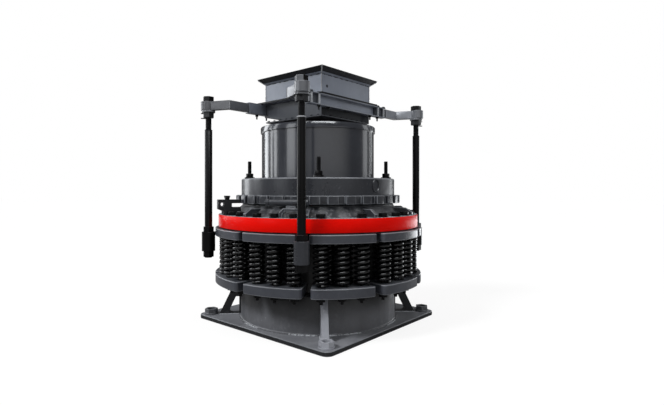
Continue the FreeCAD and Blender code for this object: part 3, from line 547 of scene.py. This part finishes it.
def threaded(work, radius, low, high, pitch):
    """A ridge that winds up a bar, as a screw thread does."""
    foot, crest = radius - 0.0004, radius + pitch * 0.36
    corners, edges = outline(work, [(foot, low), (crest, low + pitch * 0.5), (foot, low + pitch * 0.94)])
    face = work.faces.new(corners)
    turns = max(1, math.floor((high - low) / pitch) - 1)
    steps = 14
    spun(work, corners + edges + [face], 2 * math.pi * turns, turns * steps, pitch / steps)


def ripple_pattern(width):
    """One round ripple of a weld bead."""
    work = bmesh.new()
    bmesh.ops.create_uvsphere(work, u_segments=8, v_segments=4, radius=width / 2)
    return finished_mesh("bead_ripple", work)


def run_bead(work, ripple, chance, points, step=0.006, jitter=0.12):
    """Lays ripples along a line of points."""
    for first, second in zip(points, points[1:]):
        run = second - first
        count = max(1, round(run.length / step))
        heading = run.to_track_quat("X", "Z").to_matrix().to_4x4()
        for index in range(count):
            spot = first + run * ((index + 0.5) / count)
            swell = 1 + chance.uniform(-jitter, jitter) * 2
            scale = Matrix.Diagonal((1.1, swell, swell * 0.9, 1))
            added(work, ripple, Matrix.Translation(spot) @ heading @ scale)


def around(radius, height, count, start=0.0, sweep=2 * math.pi):
    """Points along an arc about Z."""
    return [Vector((radius * math.cos(start + sweep * index / count),
                    radius * math.sin(start + sweep * index / count), height)) for index in range(count + 1)]


def on_circle(radius, degrees, height=0.0):
    turn = math.radians(degrees)
    return Vector((radius * math.cos(turn), radius * math.sin(turn), height))


def facing(radius, degrees, height):
    """A matrix that puts a piece's +Z outwards at a place on the machine's round wall."""
    outwards = Matrix.Rotation(math.radians(degrees), 4, "Z") @ Matrix.Rotation(math.radians(90), 4, "Y")
    return Matrix.Translation(on_circle(radius, degrees, height)) @ outwards


def spring_spot(circle, group, place):
    """The turn of one spring about the machine's axis, and the spot on the ground below it."""
    turn = GROUP_TURN * (group + 0.5) + SPRING_TURN * place
    return turn, Vector((circle * math.cos(turn), circle * math.sin(turn), 0))


def shortened(piece):
    """Gives a piece of this height between the segments its own copy of its mesh."""
    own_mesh(piece)


def post_foot(index):
    """The spot on the ground below a post."""
    low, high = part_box(f"post_{index}")
    return Vector(((low[0] + high[0]) / 2, (low[1] + high[1]) / 2, 0))


# Pieces, each with its own operator

class DressBase(bpy.types.Operator):
    """Base plate with its foundation bosses, frame with its flange, gussets and welds"""
    bl_idname = "crusher.dress_base"
    bl_label = "Base and frame"

    def execute(self, context):
        sizes = context.scene.crusher_sizes
        plate = dress("base_plate", "Plate enamel", FIXED, 4, "Rubbed edge")
        # The plate's sides are darker than its top: painted shade.
        accent(plate, "Edge enamel", lambda place, normal: abs(normal.z) < 0.5)
        bosses = dress("foundation_bosses", "Base enamel", FIXED, 3, "Rubbed edge")
        # The front boss is lighter than the others: painted light.
        accent(bosses, "Gusset enamel", lambda place, normal: place.x + place.y < -0.5)
        # The front gusset takes painted light; the other three gussets take painted shade.
        gussets = dress("corner_gussets", "Gusset enamel", FIXED, 4)
        accent(gussets, "Edge enamel", lambda place, normal: place.x + place.y > -0.3)
        dress("frame_shell", "Frame enamel", FIXED, 2)
        dress("frame_flange", "Grey enamel", FIXED, 3)
        chance = random.Random(sizes.seed)
        ripple = ripple_pattern(sizes.bead_width)
        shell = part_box("frame_shell")[1][0]
        work = bmesh.new()
        run_bead(work, ripple, chance, around(shell + 0.0005, PLATE_TOP + 0.0005, 160), jitter=0.2)
        keep("shell_foot_bead", work, "Base enamel", FIXED, smooth=80)
        work = bmesh.new()
        bright_runs = [
            (20, 52), (75, 88), (110, 131), (163, 178), (203, 221), (228, 250), (275, 290), (318, 340)]
        for start, stop in bright_runs:
            begin, sweep = math.radians(start), math.radians(stop - start)
            arc = around(shell + 0.002, PLATE_TOP + 0.0015, 14, begin, sweep)
            run_bead(work, ripple, chance, arc, jitter=0.3)
        gusset_half = 0.0225
        for index in range(4):
            turn = 45 + 90 * index
            side = on_circle(1.0, turn + 90)
            for offset in (-gusset_half, gusset_half):
                ends = [on_circle(shell + reach, turn, PLATE_TOP) + side * offset for reach in (0.004, 0.138)]
                run_bead(work, ripple, chance, ends)
        keep("frame_weld_beads", work, "Pale steel", FIXED, smooth=80)
        return {"FINISHED"}


class DressSegments(bpy.types.Operator):
    """The curved plates that hold the springs from above and from below"""
    bl_idname = "crusher.dress_segments"
    bl_label = "Spring segments"

    def execute(self, context):
        dress("lower_segments", "Segment enamel", LIFTING, 5, "Rubbed edge")
        dress("upper_segments", "Segment enamel", FIXED, 5, "Rubbed edge")
        return {"FINISHED"}


class WindSprings(bpy.types.Operator):
    """Coil springs of round bar, two rows of them, closed at both ends"""
    bl_idname = "crusher.wind_springs"
    bl_label = "Coil springs"

    def execute(self, context):
        sizes = context.scene.crusher_sizes
        low, high = SPRING_FOOT + 0.0003, SPRING_HEAD - 0.0003
        rows = [
            ("outer_springs", sizes.spring_circle, sizes.spring_radius, sizes.spring_wire, (-1, 0, 1)),
            ("inner_springs", sizes.inner_circle, sizes.inner_radius, sizes.inner_wire, (-0.5, 0.5))]
        for node, circle, radius, wire, places in rows:
            work = bmesh.new()
            wound(work, radius, wire, low, high, sizes.spring_turns)
            coil = finished_mesh(f"{node}_coil", work)
            row = bmesh.new()
            for group in range(GROUPS):
                for order, place in enumerate(places):
                    turn, spot = spring_spot(circle, group, place)
                    own_turn = Matrix.Rotation(turn + math.radians(25 * order), 4, "Z")
                    added(row, coil, Matrix.Translation(spot) @ own_turn)
            shortened(keep(f"{node}_wound", row, "Spring black", FIXED, [node], smooth=60))
        return {"FINISHED"}


class FitSpringBolts(bpy.types.Operator):
    """Spring bolts: heads on the adjusting ring, shanks inside the springs and nuts under the segments"""
    bl_idname = "crusher.fit_spring_bolts"
    bl_label = "Spring bolts"

    def execute(self, context):
        sizes = context.scene.crusher_sizes
        chance = random.Random(sizes.seed)
        across, tall = sizes.bolt_across, SPRING_HEAD - SPRING_FOOT
        head = hexagon_pattern("spring_bolt_head", across, sizes.bolt_tall, across * 0.60, 0.004)
        nut = hexagon_pattern("spring_bolt_nut", across, 0.022, across * 0.60, 0.004)
        flip = Matrix.Rotation(math.pi, 4, "X")
        heads, nuts, shanks = bmesh.new(), bmesh.new(), bmesh.new()
        for group in range(GROUPS):
            for place in (-1, 0, 1):
                turn, spot = spring_spot(sizes.spring_circle, group, place)
                under_arch = group == 5 and place == 1
                spin = turn if under_arch else chance.uniform(0, 1)
                own_turn = Matrix.Rotation(spin, 4, "Z")
                absent = group == 6 and place == 0
                if not absent:
                    added(heads, head, Matrix.Translation(spot + UP * RING_TOP) @ own_turn)
                added(nuts, nut, Matrix.Translation(spot + UP * SEGMENT_FOOT) @ flip @ own_turn)
                bar(nuts, 0.010, 0.011, 0.020, spot + UP * (SEGMENT_FOOT - 0.034), 12)
                bar(shanks, 0.012, 0.012, tall, spot + UP * (SPRING_HEAD + SPRING_FOOT) / 2, 12)
        keep("spring_bolt_heads", heads, "Black steel", LIFTING)
        keep("spring_bolt_nuts", nuts, "Black steel", LIFTING)
        shortened(keep("spring_bolt_shanks", shanks, "Black steel", FIXED))
        return {"FINISHED"}


class DressRing(bpy.types.Operator):
    """The red adjusting ring, the pale top of its flange, its neck and its lugs"""
    bl_idname = "crusher.dress_ring"
    bl_label = "Adjusting ring"

    def execute(self, context):
        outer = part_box("adjusting_ring")[1][0]
        low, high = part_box("adjusting_ring")[0][2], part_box("adjusting_ring")[1][2]
        turned_piece("adjusting_ring_rim", [
            (outer - 0.022, low + 0.0005), (outer - 0.001, low), (outer, low + 0.002),
            (outer, RING_TOP - 0.004), (outer - 0.002, RING_TOP - 0.0005),
            (outer - 0.022, RING_TOP - 0.0008)], 192, "Ring red", LIFTING, ["adjusting_ring"])
        bore, neck = 0.5004, 0.528
        ring_body = turned_piece("adjusting_ring_body", [
            (bore, low + 0.042), (outer - 0.0222, low + 0.042), (outer - 0.0222, RING_TOP - 0.002),
            (outer - 0.004, RING_TOP - 0.0006), (outer - 0.004, RING_TOP), (0.598, RING_TOP),
            (0.590, RING_TOP + 0.003), (0.531, RING_TOP + 0.056), (neck, RING_TOP + 0.062),
            (neck, high - 0.003), (neck - 0.003, high), (bore, high)], 160, "Dusty enamel", LIFTING)
        # The flat top of the flange is pale: dust, with a painted pale sheen.
        accent(ring_body, "Pale ledge",
               lambda place, normal: abs(place.z - RING_TOP) < 0.001 and normal.z > 0.9)
        dress("ring_lugs", "Grey enamel", LIFTING, 3, "Rubbed edge")
        return {"FINISHED"}


class DressPawlAndRam(bpy.types.Operator):
    """The slotted pawl stand with its knob, and the turning ram on its arched bracket"""
    bl_idname = "crusher.dress_pawl_and_ram"
    bl_label = "Pawl and ram"

    def execute(self, context):
        dress("pawl_stand", "Edge enamel", LIFTING, 3)
        dress("locking_pawl", "Black steel", LIFTING, 3)
        dress("ram_bracket", "Grey enamel", LIFTING, 6, "Rubbed edge")
        dress("turning_ram", "Grey enamel", LIFTING, 2)
        return {"FINISHED"}


class DressBowl(bpy.types.Operator):
    """The toothed ring, the adjusting cap with its cast boss, and the parts inside the bowl"""
    bl_idname = "crusher.dress_bowl"
    bl_label = "Bowl and cap"

    def execute(self, context):
        dress("toothed_ring", "Grey enamel", TURNING, 4, "Rubbed edge")
        dress("adjusting_cap", "Grey enamel", TURNING, 4, "Rubbed edge")
        dress("bowl", "Dusty enamel", TURNING, 3)
        dress("bowl_liner", "Wear casting", TURNING, 3)
        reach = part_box("adjusting_cap")[1][0]
        turned_piece("cap_boss", [
            (0.026, -0.004), (0.034, -0.004), (0.0345, 0.003), (0.032, 0.006), (0.028, 0.003),
            (0.0265, 0.001)], 32, "Grey enamel", TURNING,
            matrix=facing(reach, 264, CAP_TOP - 0.050) @ Matrix.Diagonal((1.25, 0.95, 1, 1)))
        return {"FINISHED"}


class DressCollar(bpy.types.Operator):
    """The tall glossy feed collar and its rim"""
    bl_idname = "crusher.dress_collar"
    bl_label = "Feed collar"

    def execute(self, context):
        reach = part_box("feed_collar")[1][0]
        low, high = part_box("feed_collar")[0][2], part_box("feed_collar")[1][2]
        turned_piece("feed_collar_shell", [
            (reach - 0.012, low), (reach, low), (reach, high - 0.001), (reach - 0.001, high),
            (reach - 0.011, high), (reach - 0.012, high - 0.001)],
            192, "Collar enamel", TURNING, ["feed_collar"])
        rim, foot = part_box("collar_rim")[1][0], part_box("collar_rim")[0][2]
        turned_piece("collar_rim_band", [
            (reach - 0.0004, foot + 0.001), (rim - 0.002, foot), (rim, foot + 0.002), (rim, high - 0.003),
            (rim - 0.002, high), (reach - 0.0004, high - 0.0005)],
            192, "Collar enamel", TURNING, ["collar_rim"])
        chance = random.Random(11)
        work = bmesh.new()
        foot_line = around(reach + 0.001, low + 0.0015, 150)
        run_bead(work, ripple_pattern(0.007), chance, foot_line, step=0.007)
        keep("collar_weld_beads", work, "Grey enamel", TURNING, smooth=80)
        return {"FINISHED"}


class FitStuds(bpy.types.Operator):
    """Four threaded studs on the cap, with washers and nuts"""
    bl_idname = "crusher.fit_studs"
    bl_label = "Cap studs"

    def execute(self, context):
        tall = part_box("cap_studs")[1][2] - CAP_TOP
        circle, first_bearing = 0.483, 42
        nut = hexagon_pattern("stud_nut", 0.046, 0.026, 0.0355, 0.014, round_off=0.002)
        work = bmesh.new()
        for index in range(4):
            spot = on_circle(circle, first_bearing + 90 * index, CAP_TOP)
            place = Matrix.Translation(spot) @ Matrix.Rotation(math.radians(12 + 31 * index), 4, "Z")
            added(work, nut, place)
            stud = bmesh.new()
            turned(stud, [
                (0.0004, 0), (0.0125, 0), (0.0125, tall - 0.002), (0.0105, tall), (0.0004, tall)], steps=20)
            threaded(stud, 0.0122, 0.042, tall - 0.003, 0.004)
            added(work, finished_mesh("stud_bar", stud), place)
        keep("cap_studs_threaded", work, "Black steel", TURNING, ["cap_studs"])
        return {"FINISHED"}


class DressCrushingHead(bpy.types.Operator):
    """The hub, the crushing head and the feed plate deep inside"""
    bl_idname = "crusher.dress_crushing_head"
    bl_label = "Crushing head"

    def execute(self, context):
        dress("frame_hub", "Base enamel", FIXED, 4)
        dress("crushing_head", "Wear casting", FIXED, 4)
        dress("feed_plate", "Wear casting", FIXED, 3)
        return {"FINISHED"}


class DressPosts(bpy.types.Operator):
    """The four posts with their threads, washers, pins and sockets"""
    bl_idname = "crusher.dress_posts"
    bl_label = "Corner posts"

    def execute(self, context):
        sizes = context.scene.crusher_sizes
        arm_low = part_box("post_arm_1")[0][2]
        left_of_view = on_circle(1, 132)
        for index in range(1, 5):
            front = index == 3
            post = dress(f"post_{index}", "Black steel", FIXED, 1.5)
            # The top nut is two-toned by which way its faces look: its tops, and on the front post its facets
            # that face the left, take the pale nut enamel, and its other facets stay black, as painted light
            # and shade.
            accent(post, "Nut enamel", lambda place, normal: place.z > arm_low + 0.0605 and (
                normal.z > 0.5 or (front and normal.dot(left_of_view) > 0)))
            accent(post, "Base enamel", lambda place, normal: arm_low - 0.0125 < place.z < arm_low)
            # The under nut below the arm is darkened as painted shade.
            accent(post, "Edge enamel", lambda place, normal: arm_low - 0.047 < place.z < arm_low - 0.0135)
            dress(f"post_socket_{index}", "Grey enamel" if front else "Black steel", FIXED, 4)
            spot = post_foot(index)
            work = bmesh.new()
            threaded(work, 0.0183, POST_STEP + 0.006, arm_low - 0.049, sizes.thread_pitch)
            bmesh.ops.translate(work, verts=work.verts, vec=spot)
            keep(f"post_{index}_threads", work, "Black steel", FIXED)
            turned_piece(
                f"post_{index}_step_washer",
                [(0.0195, 0), (0.0255, 0.0005), (0.0255, 0.0055), (0.0225, 0.0085), (0.0195, 0.0085)],
                32, "Weld metal" if front else "Black steel", FIXED,
                matrix=Matrix.Translation(spot + UP * POST_STEP))
            turned_piece(
                f"post_{index}_washer_rim",
                [(0.042, 0), (0.0442, 0), (0.0446, 0.002), (0.0446, 0.009), (0.0442, 0.011), (0.042, 0.011)],
                40, "Nut enamel", FIXED, matrix=Matrix.Translation(spot + UP * (arm_low - 0.0120)))
            work = bmesh.new()
            outward = spot.normalized()
            lie = outward.to_track_quat("Z", "Y").to_matrix().to_4x4()
            for drop in (0.020, 0.052):
                bar(work, 0.0038, 0.0034, 0.036, spot + outward * 0.032 + UP * (arm_low - drop), 10, lie)
            keep(f"post_{index}_pins", work, "Black steel", FIXED)
        return {"FINISHED"}


class DressArms(bpy.types.Operator):
    """The bent arms with the weld at each bend, and the channel beams with their sleeves and bolts"""
    bl_idname = "crusher.dress_arms"
    bl_label = "Arms and beams"

    def execute(self, context):
        sizes = context.scene.crusher_sizes
        chance = random.Random(sizes.seed + 1)
        ripple = ripple_pattern(0.007)
        beads = bmesh.new()
        low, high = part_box("post_arm_1")[0][2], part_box("post_arm_1")[1][2]
        for index in range(1, 5):
            # Arms 1 and 2 take a darker share of the arm paint, and darker still past the bend.
            arm = dress(f"post_arm_{index}", "Arm enamel" if index > 2 else "Dull arm enamel", FIXED, 4)
            accent(arm, "Shaded enamel", lambda place, normal: abs(place.x) < 0.4135)
            foot = post_foot(index).xy
            if index > 2:
                accent(arm, "Nut enamel", lambda place, normal: (place.xy - foot).length < 0.054)
            else:
                accent(arm, "Base enamel", lambda place, normal: abs(place.x) > 0.565)
        for across in (-1, 1):
            for along in (-1, 1):
                kink = Vector((across * 0.5725, along * 0.2655, 0))
                run_bead(beads, ripple, chance, [kink + UP * (low + 0.002), kink + UP * (high - 0.002)])
        keep("arm_weld_beads", beads, "Weld metal", FIXED, smooth=80)
        nut = hexagon_pattern("beam_bolt_nut", 0.019, 0.009, 0.012, 0.002, round_off=0.0008)
        head = hexagon_pattern("beam_bolt_head", 0.022, 0.006, 0.0145, 0.0015, round_off=0.001)
        flip = Matrix.Rotation(math.pi, 4, "X")
        work, sleeves = bmesh.new(), bmesh.new()
        bolt_places, sleeve_places, flange = (0.228, 0.318), (0.320, 0.392), 0.0071
        for index, along in ((1, 1), (2, -1)):
            dress(f"box_beam_{index}", "Box enamel", FIXED, 2, "Rubbed edge")
            beam_low, beam_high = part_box(f"box_beam_{index}")
            tall = beam_high[2] - beam_low[2] - 2 * flange
            for across in (-1, 1):
                for place in bolt_places:
                    spot = Vector((across * place, along * 0.288, beam_low[2]))
                    added(work, nut, Matrix.Translation(spot) @ flip)
                    bar(work, 0.0052, 0.0058, 0.030, spot - UP * 0.015, 10)
                for place in sleeve_places:
                    spot = Vector((across * place, along * 0.292, beam_high[2]))
                    if along < 0:
                        added(work, head, Matrix.Translation(spot))
                    bar(sleeves, 0.0085, 0.0085, tall, spot - UP * (tall / 2 + flange), 24)
        keep("beam_bolts", work, "Black steel", FIXED)
        keep("beam_sleeves", sleeves, "Pale steel", FIXED)
        return {"FINISHED"}


class DressFeedBox(bpy.types.Operator):
    """The feed box with its flared lip, tie plate, seams and floor"""
    bl_idname = "crusher.dress_feed_box"
    bl_label = "Feed box"

    def execute(self, context):
        sizes = context.scene.crusher_sizes
        plate = dress("tie_plate", "Box enamel", FIXED, 1.5)
        accent(plate, "Black steel", lambda place, normal: abs(normal.z) < 0.5)
        dress("upper_box", "Box enamel", FIXED, 1.5)
        walls = dress("lower_box", "Shaded enamel", FIXED, 1.5)
        # The lower box's walls that face -Y take a deeper painted shade.
        accent(walls, "Lip enamel", lambda place, normal: normal.y < -0.5)
        dress("box_floor", "Shaded enamel", FIXED, 1.5)
        # The lip is drawn in painted shade.
        dress("box_lip", "Lip enamel", FIXED, 1.5)
        # A band of the box paint round the foot of the lip, lighter than the shaded lip above it: a painted
        # lit band.
        low, high = BOX_SHOULDER + 0.001, BOX_SHOULDER + 0.011
        flare = (LIP_HALF - BOX_HALF) / (LIP_TOP - BOX_SHOULDER)
        foot, head = BOX_HALF + 0.001 * flare, BOX_HALF + 0.011 * flare
        band = [(foot - 0.001, low), (foot + 0.0006, low), (head + 0.0006, high), (head - 0.001, high)]
        work = bmesh.new()
        corner_band = [(reach * math.sqrt(2), level) for reach, level in band]
        turned(work, corner_band, steps=4, start=math.radians(45))
        keep("lip_foot_band", work, "Box enamel", FIXED)
        chance = random.Random(sizes.seed + 2)
        ripple = ripple_pattern(0.008)
        work, dark = bmesh.new(), bmesh.new()
        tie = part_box("tie_plate")[1][2]
        corners = [(-1, -1), (1, -1), (1, 1), (-1, 1)]
        for index, (across, along) in enumerate(corners):
            near = Vector((across * BOX_HALF, along * BOX_HALF, 0))
            shoulder = near + UP * BOX_SHOULDER
            run_bead(work, ripple, chance, [near + UP * (tie + 0.002), shoulder], step=0.008)
            lip = Vector((across * (LIP_HALF - 0.004), along * (LIP_HALF - 0.004), LIP_TOP - 0.006))
            run_bead(work, ripple, chance, [shoulder, lip], step=0.008)
            after = corners[(index + 1) % 4]
            far = Vector((after[0] * BOX_HALF, after[1] * BOX_HALF, 0))
            for level, longest in ((BOX_SHOULDER, 0.024), (BOX_FOOT + 0.003, 0.012)):
                begin, finish = near + UP * level, far + UP * level
                count = 9
                for step in range(count):
                    stitch = begin.lerp(finish, (step + 0.5) / count)
                    half = (finish - begin).normalized() * chance.uniform(0.006, longest)
                    run_bead(dark, ripple, chance, [stitch - half, stitch + half], step=0.008)
        keep("box_weld_beads", work, "Weld metal", FIXED, smooth=80)
        # Weld stitches along the shoulder and the foot, drawn as dark lines in the deep shade enamel.
        keep("box_edge_beads", dark, "Lip enamel", FIXED, smooth=80)
        turned_piece(
            "box_plug",
            [(0.0005, -0.002), (0.0095, -0.002), (0.0095, 0.0005), (0.008, 0.0012), (0.0005, -0.0005)],
            16, "Black steel", FIXED,
            matrix=Matrix.Translation((-0.204, -BOX_HALF, 1.556)) @ Matrix.Rotation(math.radians(90), 4, "X"))
        return {"FINISHED"}


class SetStage(bpy.types.Operator):
    """The pale floor, the soft lamps and the camera at the photograph's angle"""
    bl_idname = "crusher.set_stage"
    bl_label = "Stage"

    def execute(self, context):
        scene = context.scene
        work = bmesh.new()
        bmesh.ops.create_grid(work, x_segments=1, y_segments=1, size=40)
        floor = placed("floor", finished_mesh("floor", work, closed=False))
        floor.data.materials.append(floor_material(tuple(scene.crusher_colours.floor)))
        plain_world(scene)
        # Name, bearing, reach, height, size, glow, height that it aims at, and whether it lights matt faces
        lamps = [
            ("left_back_strip", 100.5, 3.6, 1.93, (0.95, 2.35), 4.5, 1.93, False),
            ("left_low_card", 80, 3.6, 0.38, (0.70, 0.74), 2.2, 0.38, False),
            ("left_side_strip", 127, 3.6, 2.12, (1.20, 2.15), 4.5, 2.12, False),
            ("left_front_strip", 170, 3.6, 2.14, (1.10, 2.10), 3.2, 2.14, False),
            ("right_side_strip", 326, 3.6, 1.93, (0.95, 1.75), 1.4, 1.93, False),
            ("right_back_strip", 350, 3.6, 1.76, (0.75, 2.08), 1.6, 1.76, False),
            ("right_low_card", 349, 3.6, 0.38, (2.10, 0.66), 5.0, 0.38, False),
            ("front_top_card", 222, 2.5, 3.30, (3.40, 0.70), 13.0, 0.6, False),
            ("overhead", 222, 0.4, 4.20, (3.0, 3.0), 1.8, 0.8, True)]
        for name, degrees, reach, height, (wide, tall), glow, target, lights in lamps:
            data = bpy.data.lights.new(name, "AREA")
            data.shape = "RECTANGLE"
            data.size, data.size_y = wide, tall
            data.energy = glow * math.pi * wide * tall
            lamp = placed(name, data)
            lamp.location = on_circle(reach, degrees, height)
            aim = Vector((0, 0, target)) - lamp.location
            lamp.rotation_euler = aim.to_track_quat("-Z", "Y").to_euler()
            lamp.visible_diffuse = lights
            if not lights:
                data.color = (0.94, 0.97, 1.0)
        # Name, strength, width of the disc, bearing and lift in degrees
        suns = [("daylight", 2.4, 14, 162, 42), ("right_fill", 0.8, 40, 285, 25)]
        for name, energy, spread, degrees, lift in suns:
            data = bpy.data.lights.new(name, "SUN")
            data.energy = energy
            data.angle = math.radians(spread)
            lamp = placed(name, data)
            rise = math.radians(lift)
            aim = -on_circle(math.cos(rise), degrees, math.sin(rise))
            lamp.rotation_euler = aim.to_track_quat("-Z", "Y").to_euler()
            lamp.visible_glossy = False
        data = bpy.data.cameras.new("photo_camera")
        data.sensor_width = 36
        data.lens = 25.085
        data.shift_x = 0.0291
        data.shift_y = -0.0182
        camera = placed("photo_camera", data)
        camera.location = (-2.4632, -2.1693, 0.889)
        camera.rotation_euler = (math.radians(90), 0, math.radians(-48))
        scene.camera = camera
        scene.view_settings.view_transform = "Standard"
        return {"FINISHED"}


def floor_material(colour):
    """A plain floor that stays white to the eye, keeps soft shadows and throws little light back."""
    material = bpy.data.materials.new("Floor")
    material.use_nodes = True
    tree = material.node_tree
    tree.nodes.clear()
    leave = tree.nodes.new("ShaderNodeOutputMaterial")
    seen = tree.nodes.new("ShaderNodeLightPath").outputs["Is Camera Ray"]
    matt = tree.nodes.new("ShaderNodeBsdfDiffuse")
    tree.links.new(mix_colour(tree, seen, shaded(colour, 0.35), colour), matt.inputs["Color"])
    glow = tree.nodes.new("ShaderNodeEmission")
    glow.inputs["Strength"].default_value = 1.05
    mixed = tree.nodes.new("ShaderNodeMixShader")
    tree.links.new(times(tree, seen, 0.84), mixed.inputs[0])
    tree.links.new(matt.outputs[0], mixed.inputs[1])
    tree.links.new(glow.outputs[0], mixed.inputs[2])
    tree.links.new(mixed.outputs[0], leave.inputs["Surface"])
    return material


def plain_world(scene):
    """An even surround: white where it is seen, and dimmer where it is mirrored or gives light."""
    world = bpy.data.worlds.new("Plain surround")
    scene.world = world
    world.use_nodes = True
    tree = world.node_tree
    ground = tree.nodes["Background"]
    ground.inputs["Color"].default_value = (1, 1, 1, 1)
    seen = tree.nodes.new("ShaderNodeLightPath")
    plain = math_node(tree, "MAXIMUM", seen.outputs["Is Camera Ray"], seen.outputs["Is Transmission Ray"])
    way = tree.nodes.new("ShaderNodeVectorMath")
    way.operation = "DOT_PRODUCT"
    way.inputs[1].default_value = on_circle(1.0, 241)
    place = tree.nodes.new("ShaderNodeTexCoord").outputs["Generated"]
    tree.links.new(place, way.inputs[0])
    parts = tree.nodes.new("ShaderNodeSeparateXYZ")
    tree.links.new(place, parts.inputs[0])
    above = math_node(tree, "SUBTRACT", spread_node(tree, parts.outputs["Z"], 0.0, 0.05),
                      spread_node(tree, parts.outputs["Z"], 0.16, 0.30))
    front = times(tree, spread_node(tree, way.outputs["Value"], 0.60, 0.98), above)
    level = math_node(tree, "ADD", times(tree, front, 0.85), 0.11)
    mirrored = times(tree, seen.outputs["Is Glossy Ray"], level)
    spread = times(tree, seen.outputs["Is Diffuse Ray"], 0.26)
    direct = math_node(tree, "MAXIMUM", plain, mirrored)
    tree.links.new(math_node(tree, "MAXIMUM", direct, spread), ground.inputs["Strength"])


class CrusherPanel(bpy.types.Panel):
    """Lists the machine's pieces and their sizes and colours"""
    bl_idname = "VIEW3D_PT_crusher"
    bl_label = "Cone crusher"
    bl_space_type = "VIEW_3D"
    bl_region_type = "UI"
    bl_category = "Crusher"

    def draw(self, context):
        for operator in STEPS:
            self.layout.operator(operator.bl_idname)
        for group in (context.scene.crusher_sizes, context.scene.crusher_colours):
            box = self.layout.box()
            for label in group.__annotations__:
                box.prop(group, label)


STEPS = (DressBase, DressSegments, WindSprings, FitSpringBolts, DressRing, DressPawlAndRam, DressBowl,
         DressCollar, FitStuds, DressCrushingHead, DressPosts, DressArms, DressFeedBox, SetStage)
CLASSES = (CrusherSizes, CrusherColours, *STEPS, CrusherPanel)


def register():
    for kind in CLASSES:
        bpy.utils.register_class(kind)
    bpy.types.Scene.crusher_sizes = PointerProperty(type=CrusherSizes)
    bpy.types.Scene.crusher_colours = PointerProperty(type=CrusherColours)


def unregister():
    del bpy.types.Scene.crusher_colours
    del bpy.types.Scene.crusher_sizes
    for kind in reversed(CLASSES):
        bpy.utils.unregister_class(kind)


def main():
    register()
    for operator in STEPS:
        group, name = operator.bl_idname.split(".")
        getattr(getattr(bpy.ops, group), name)()


if __name__ == "__main__":
    main()
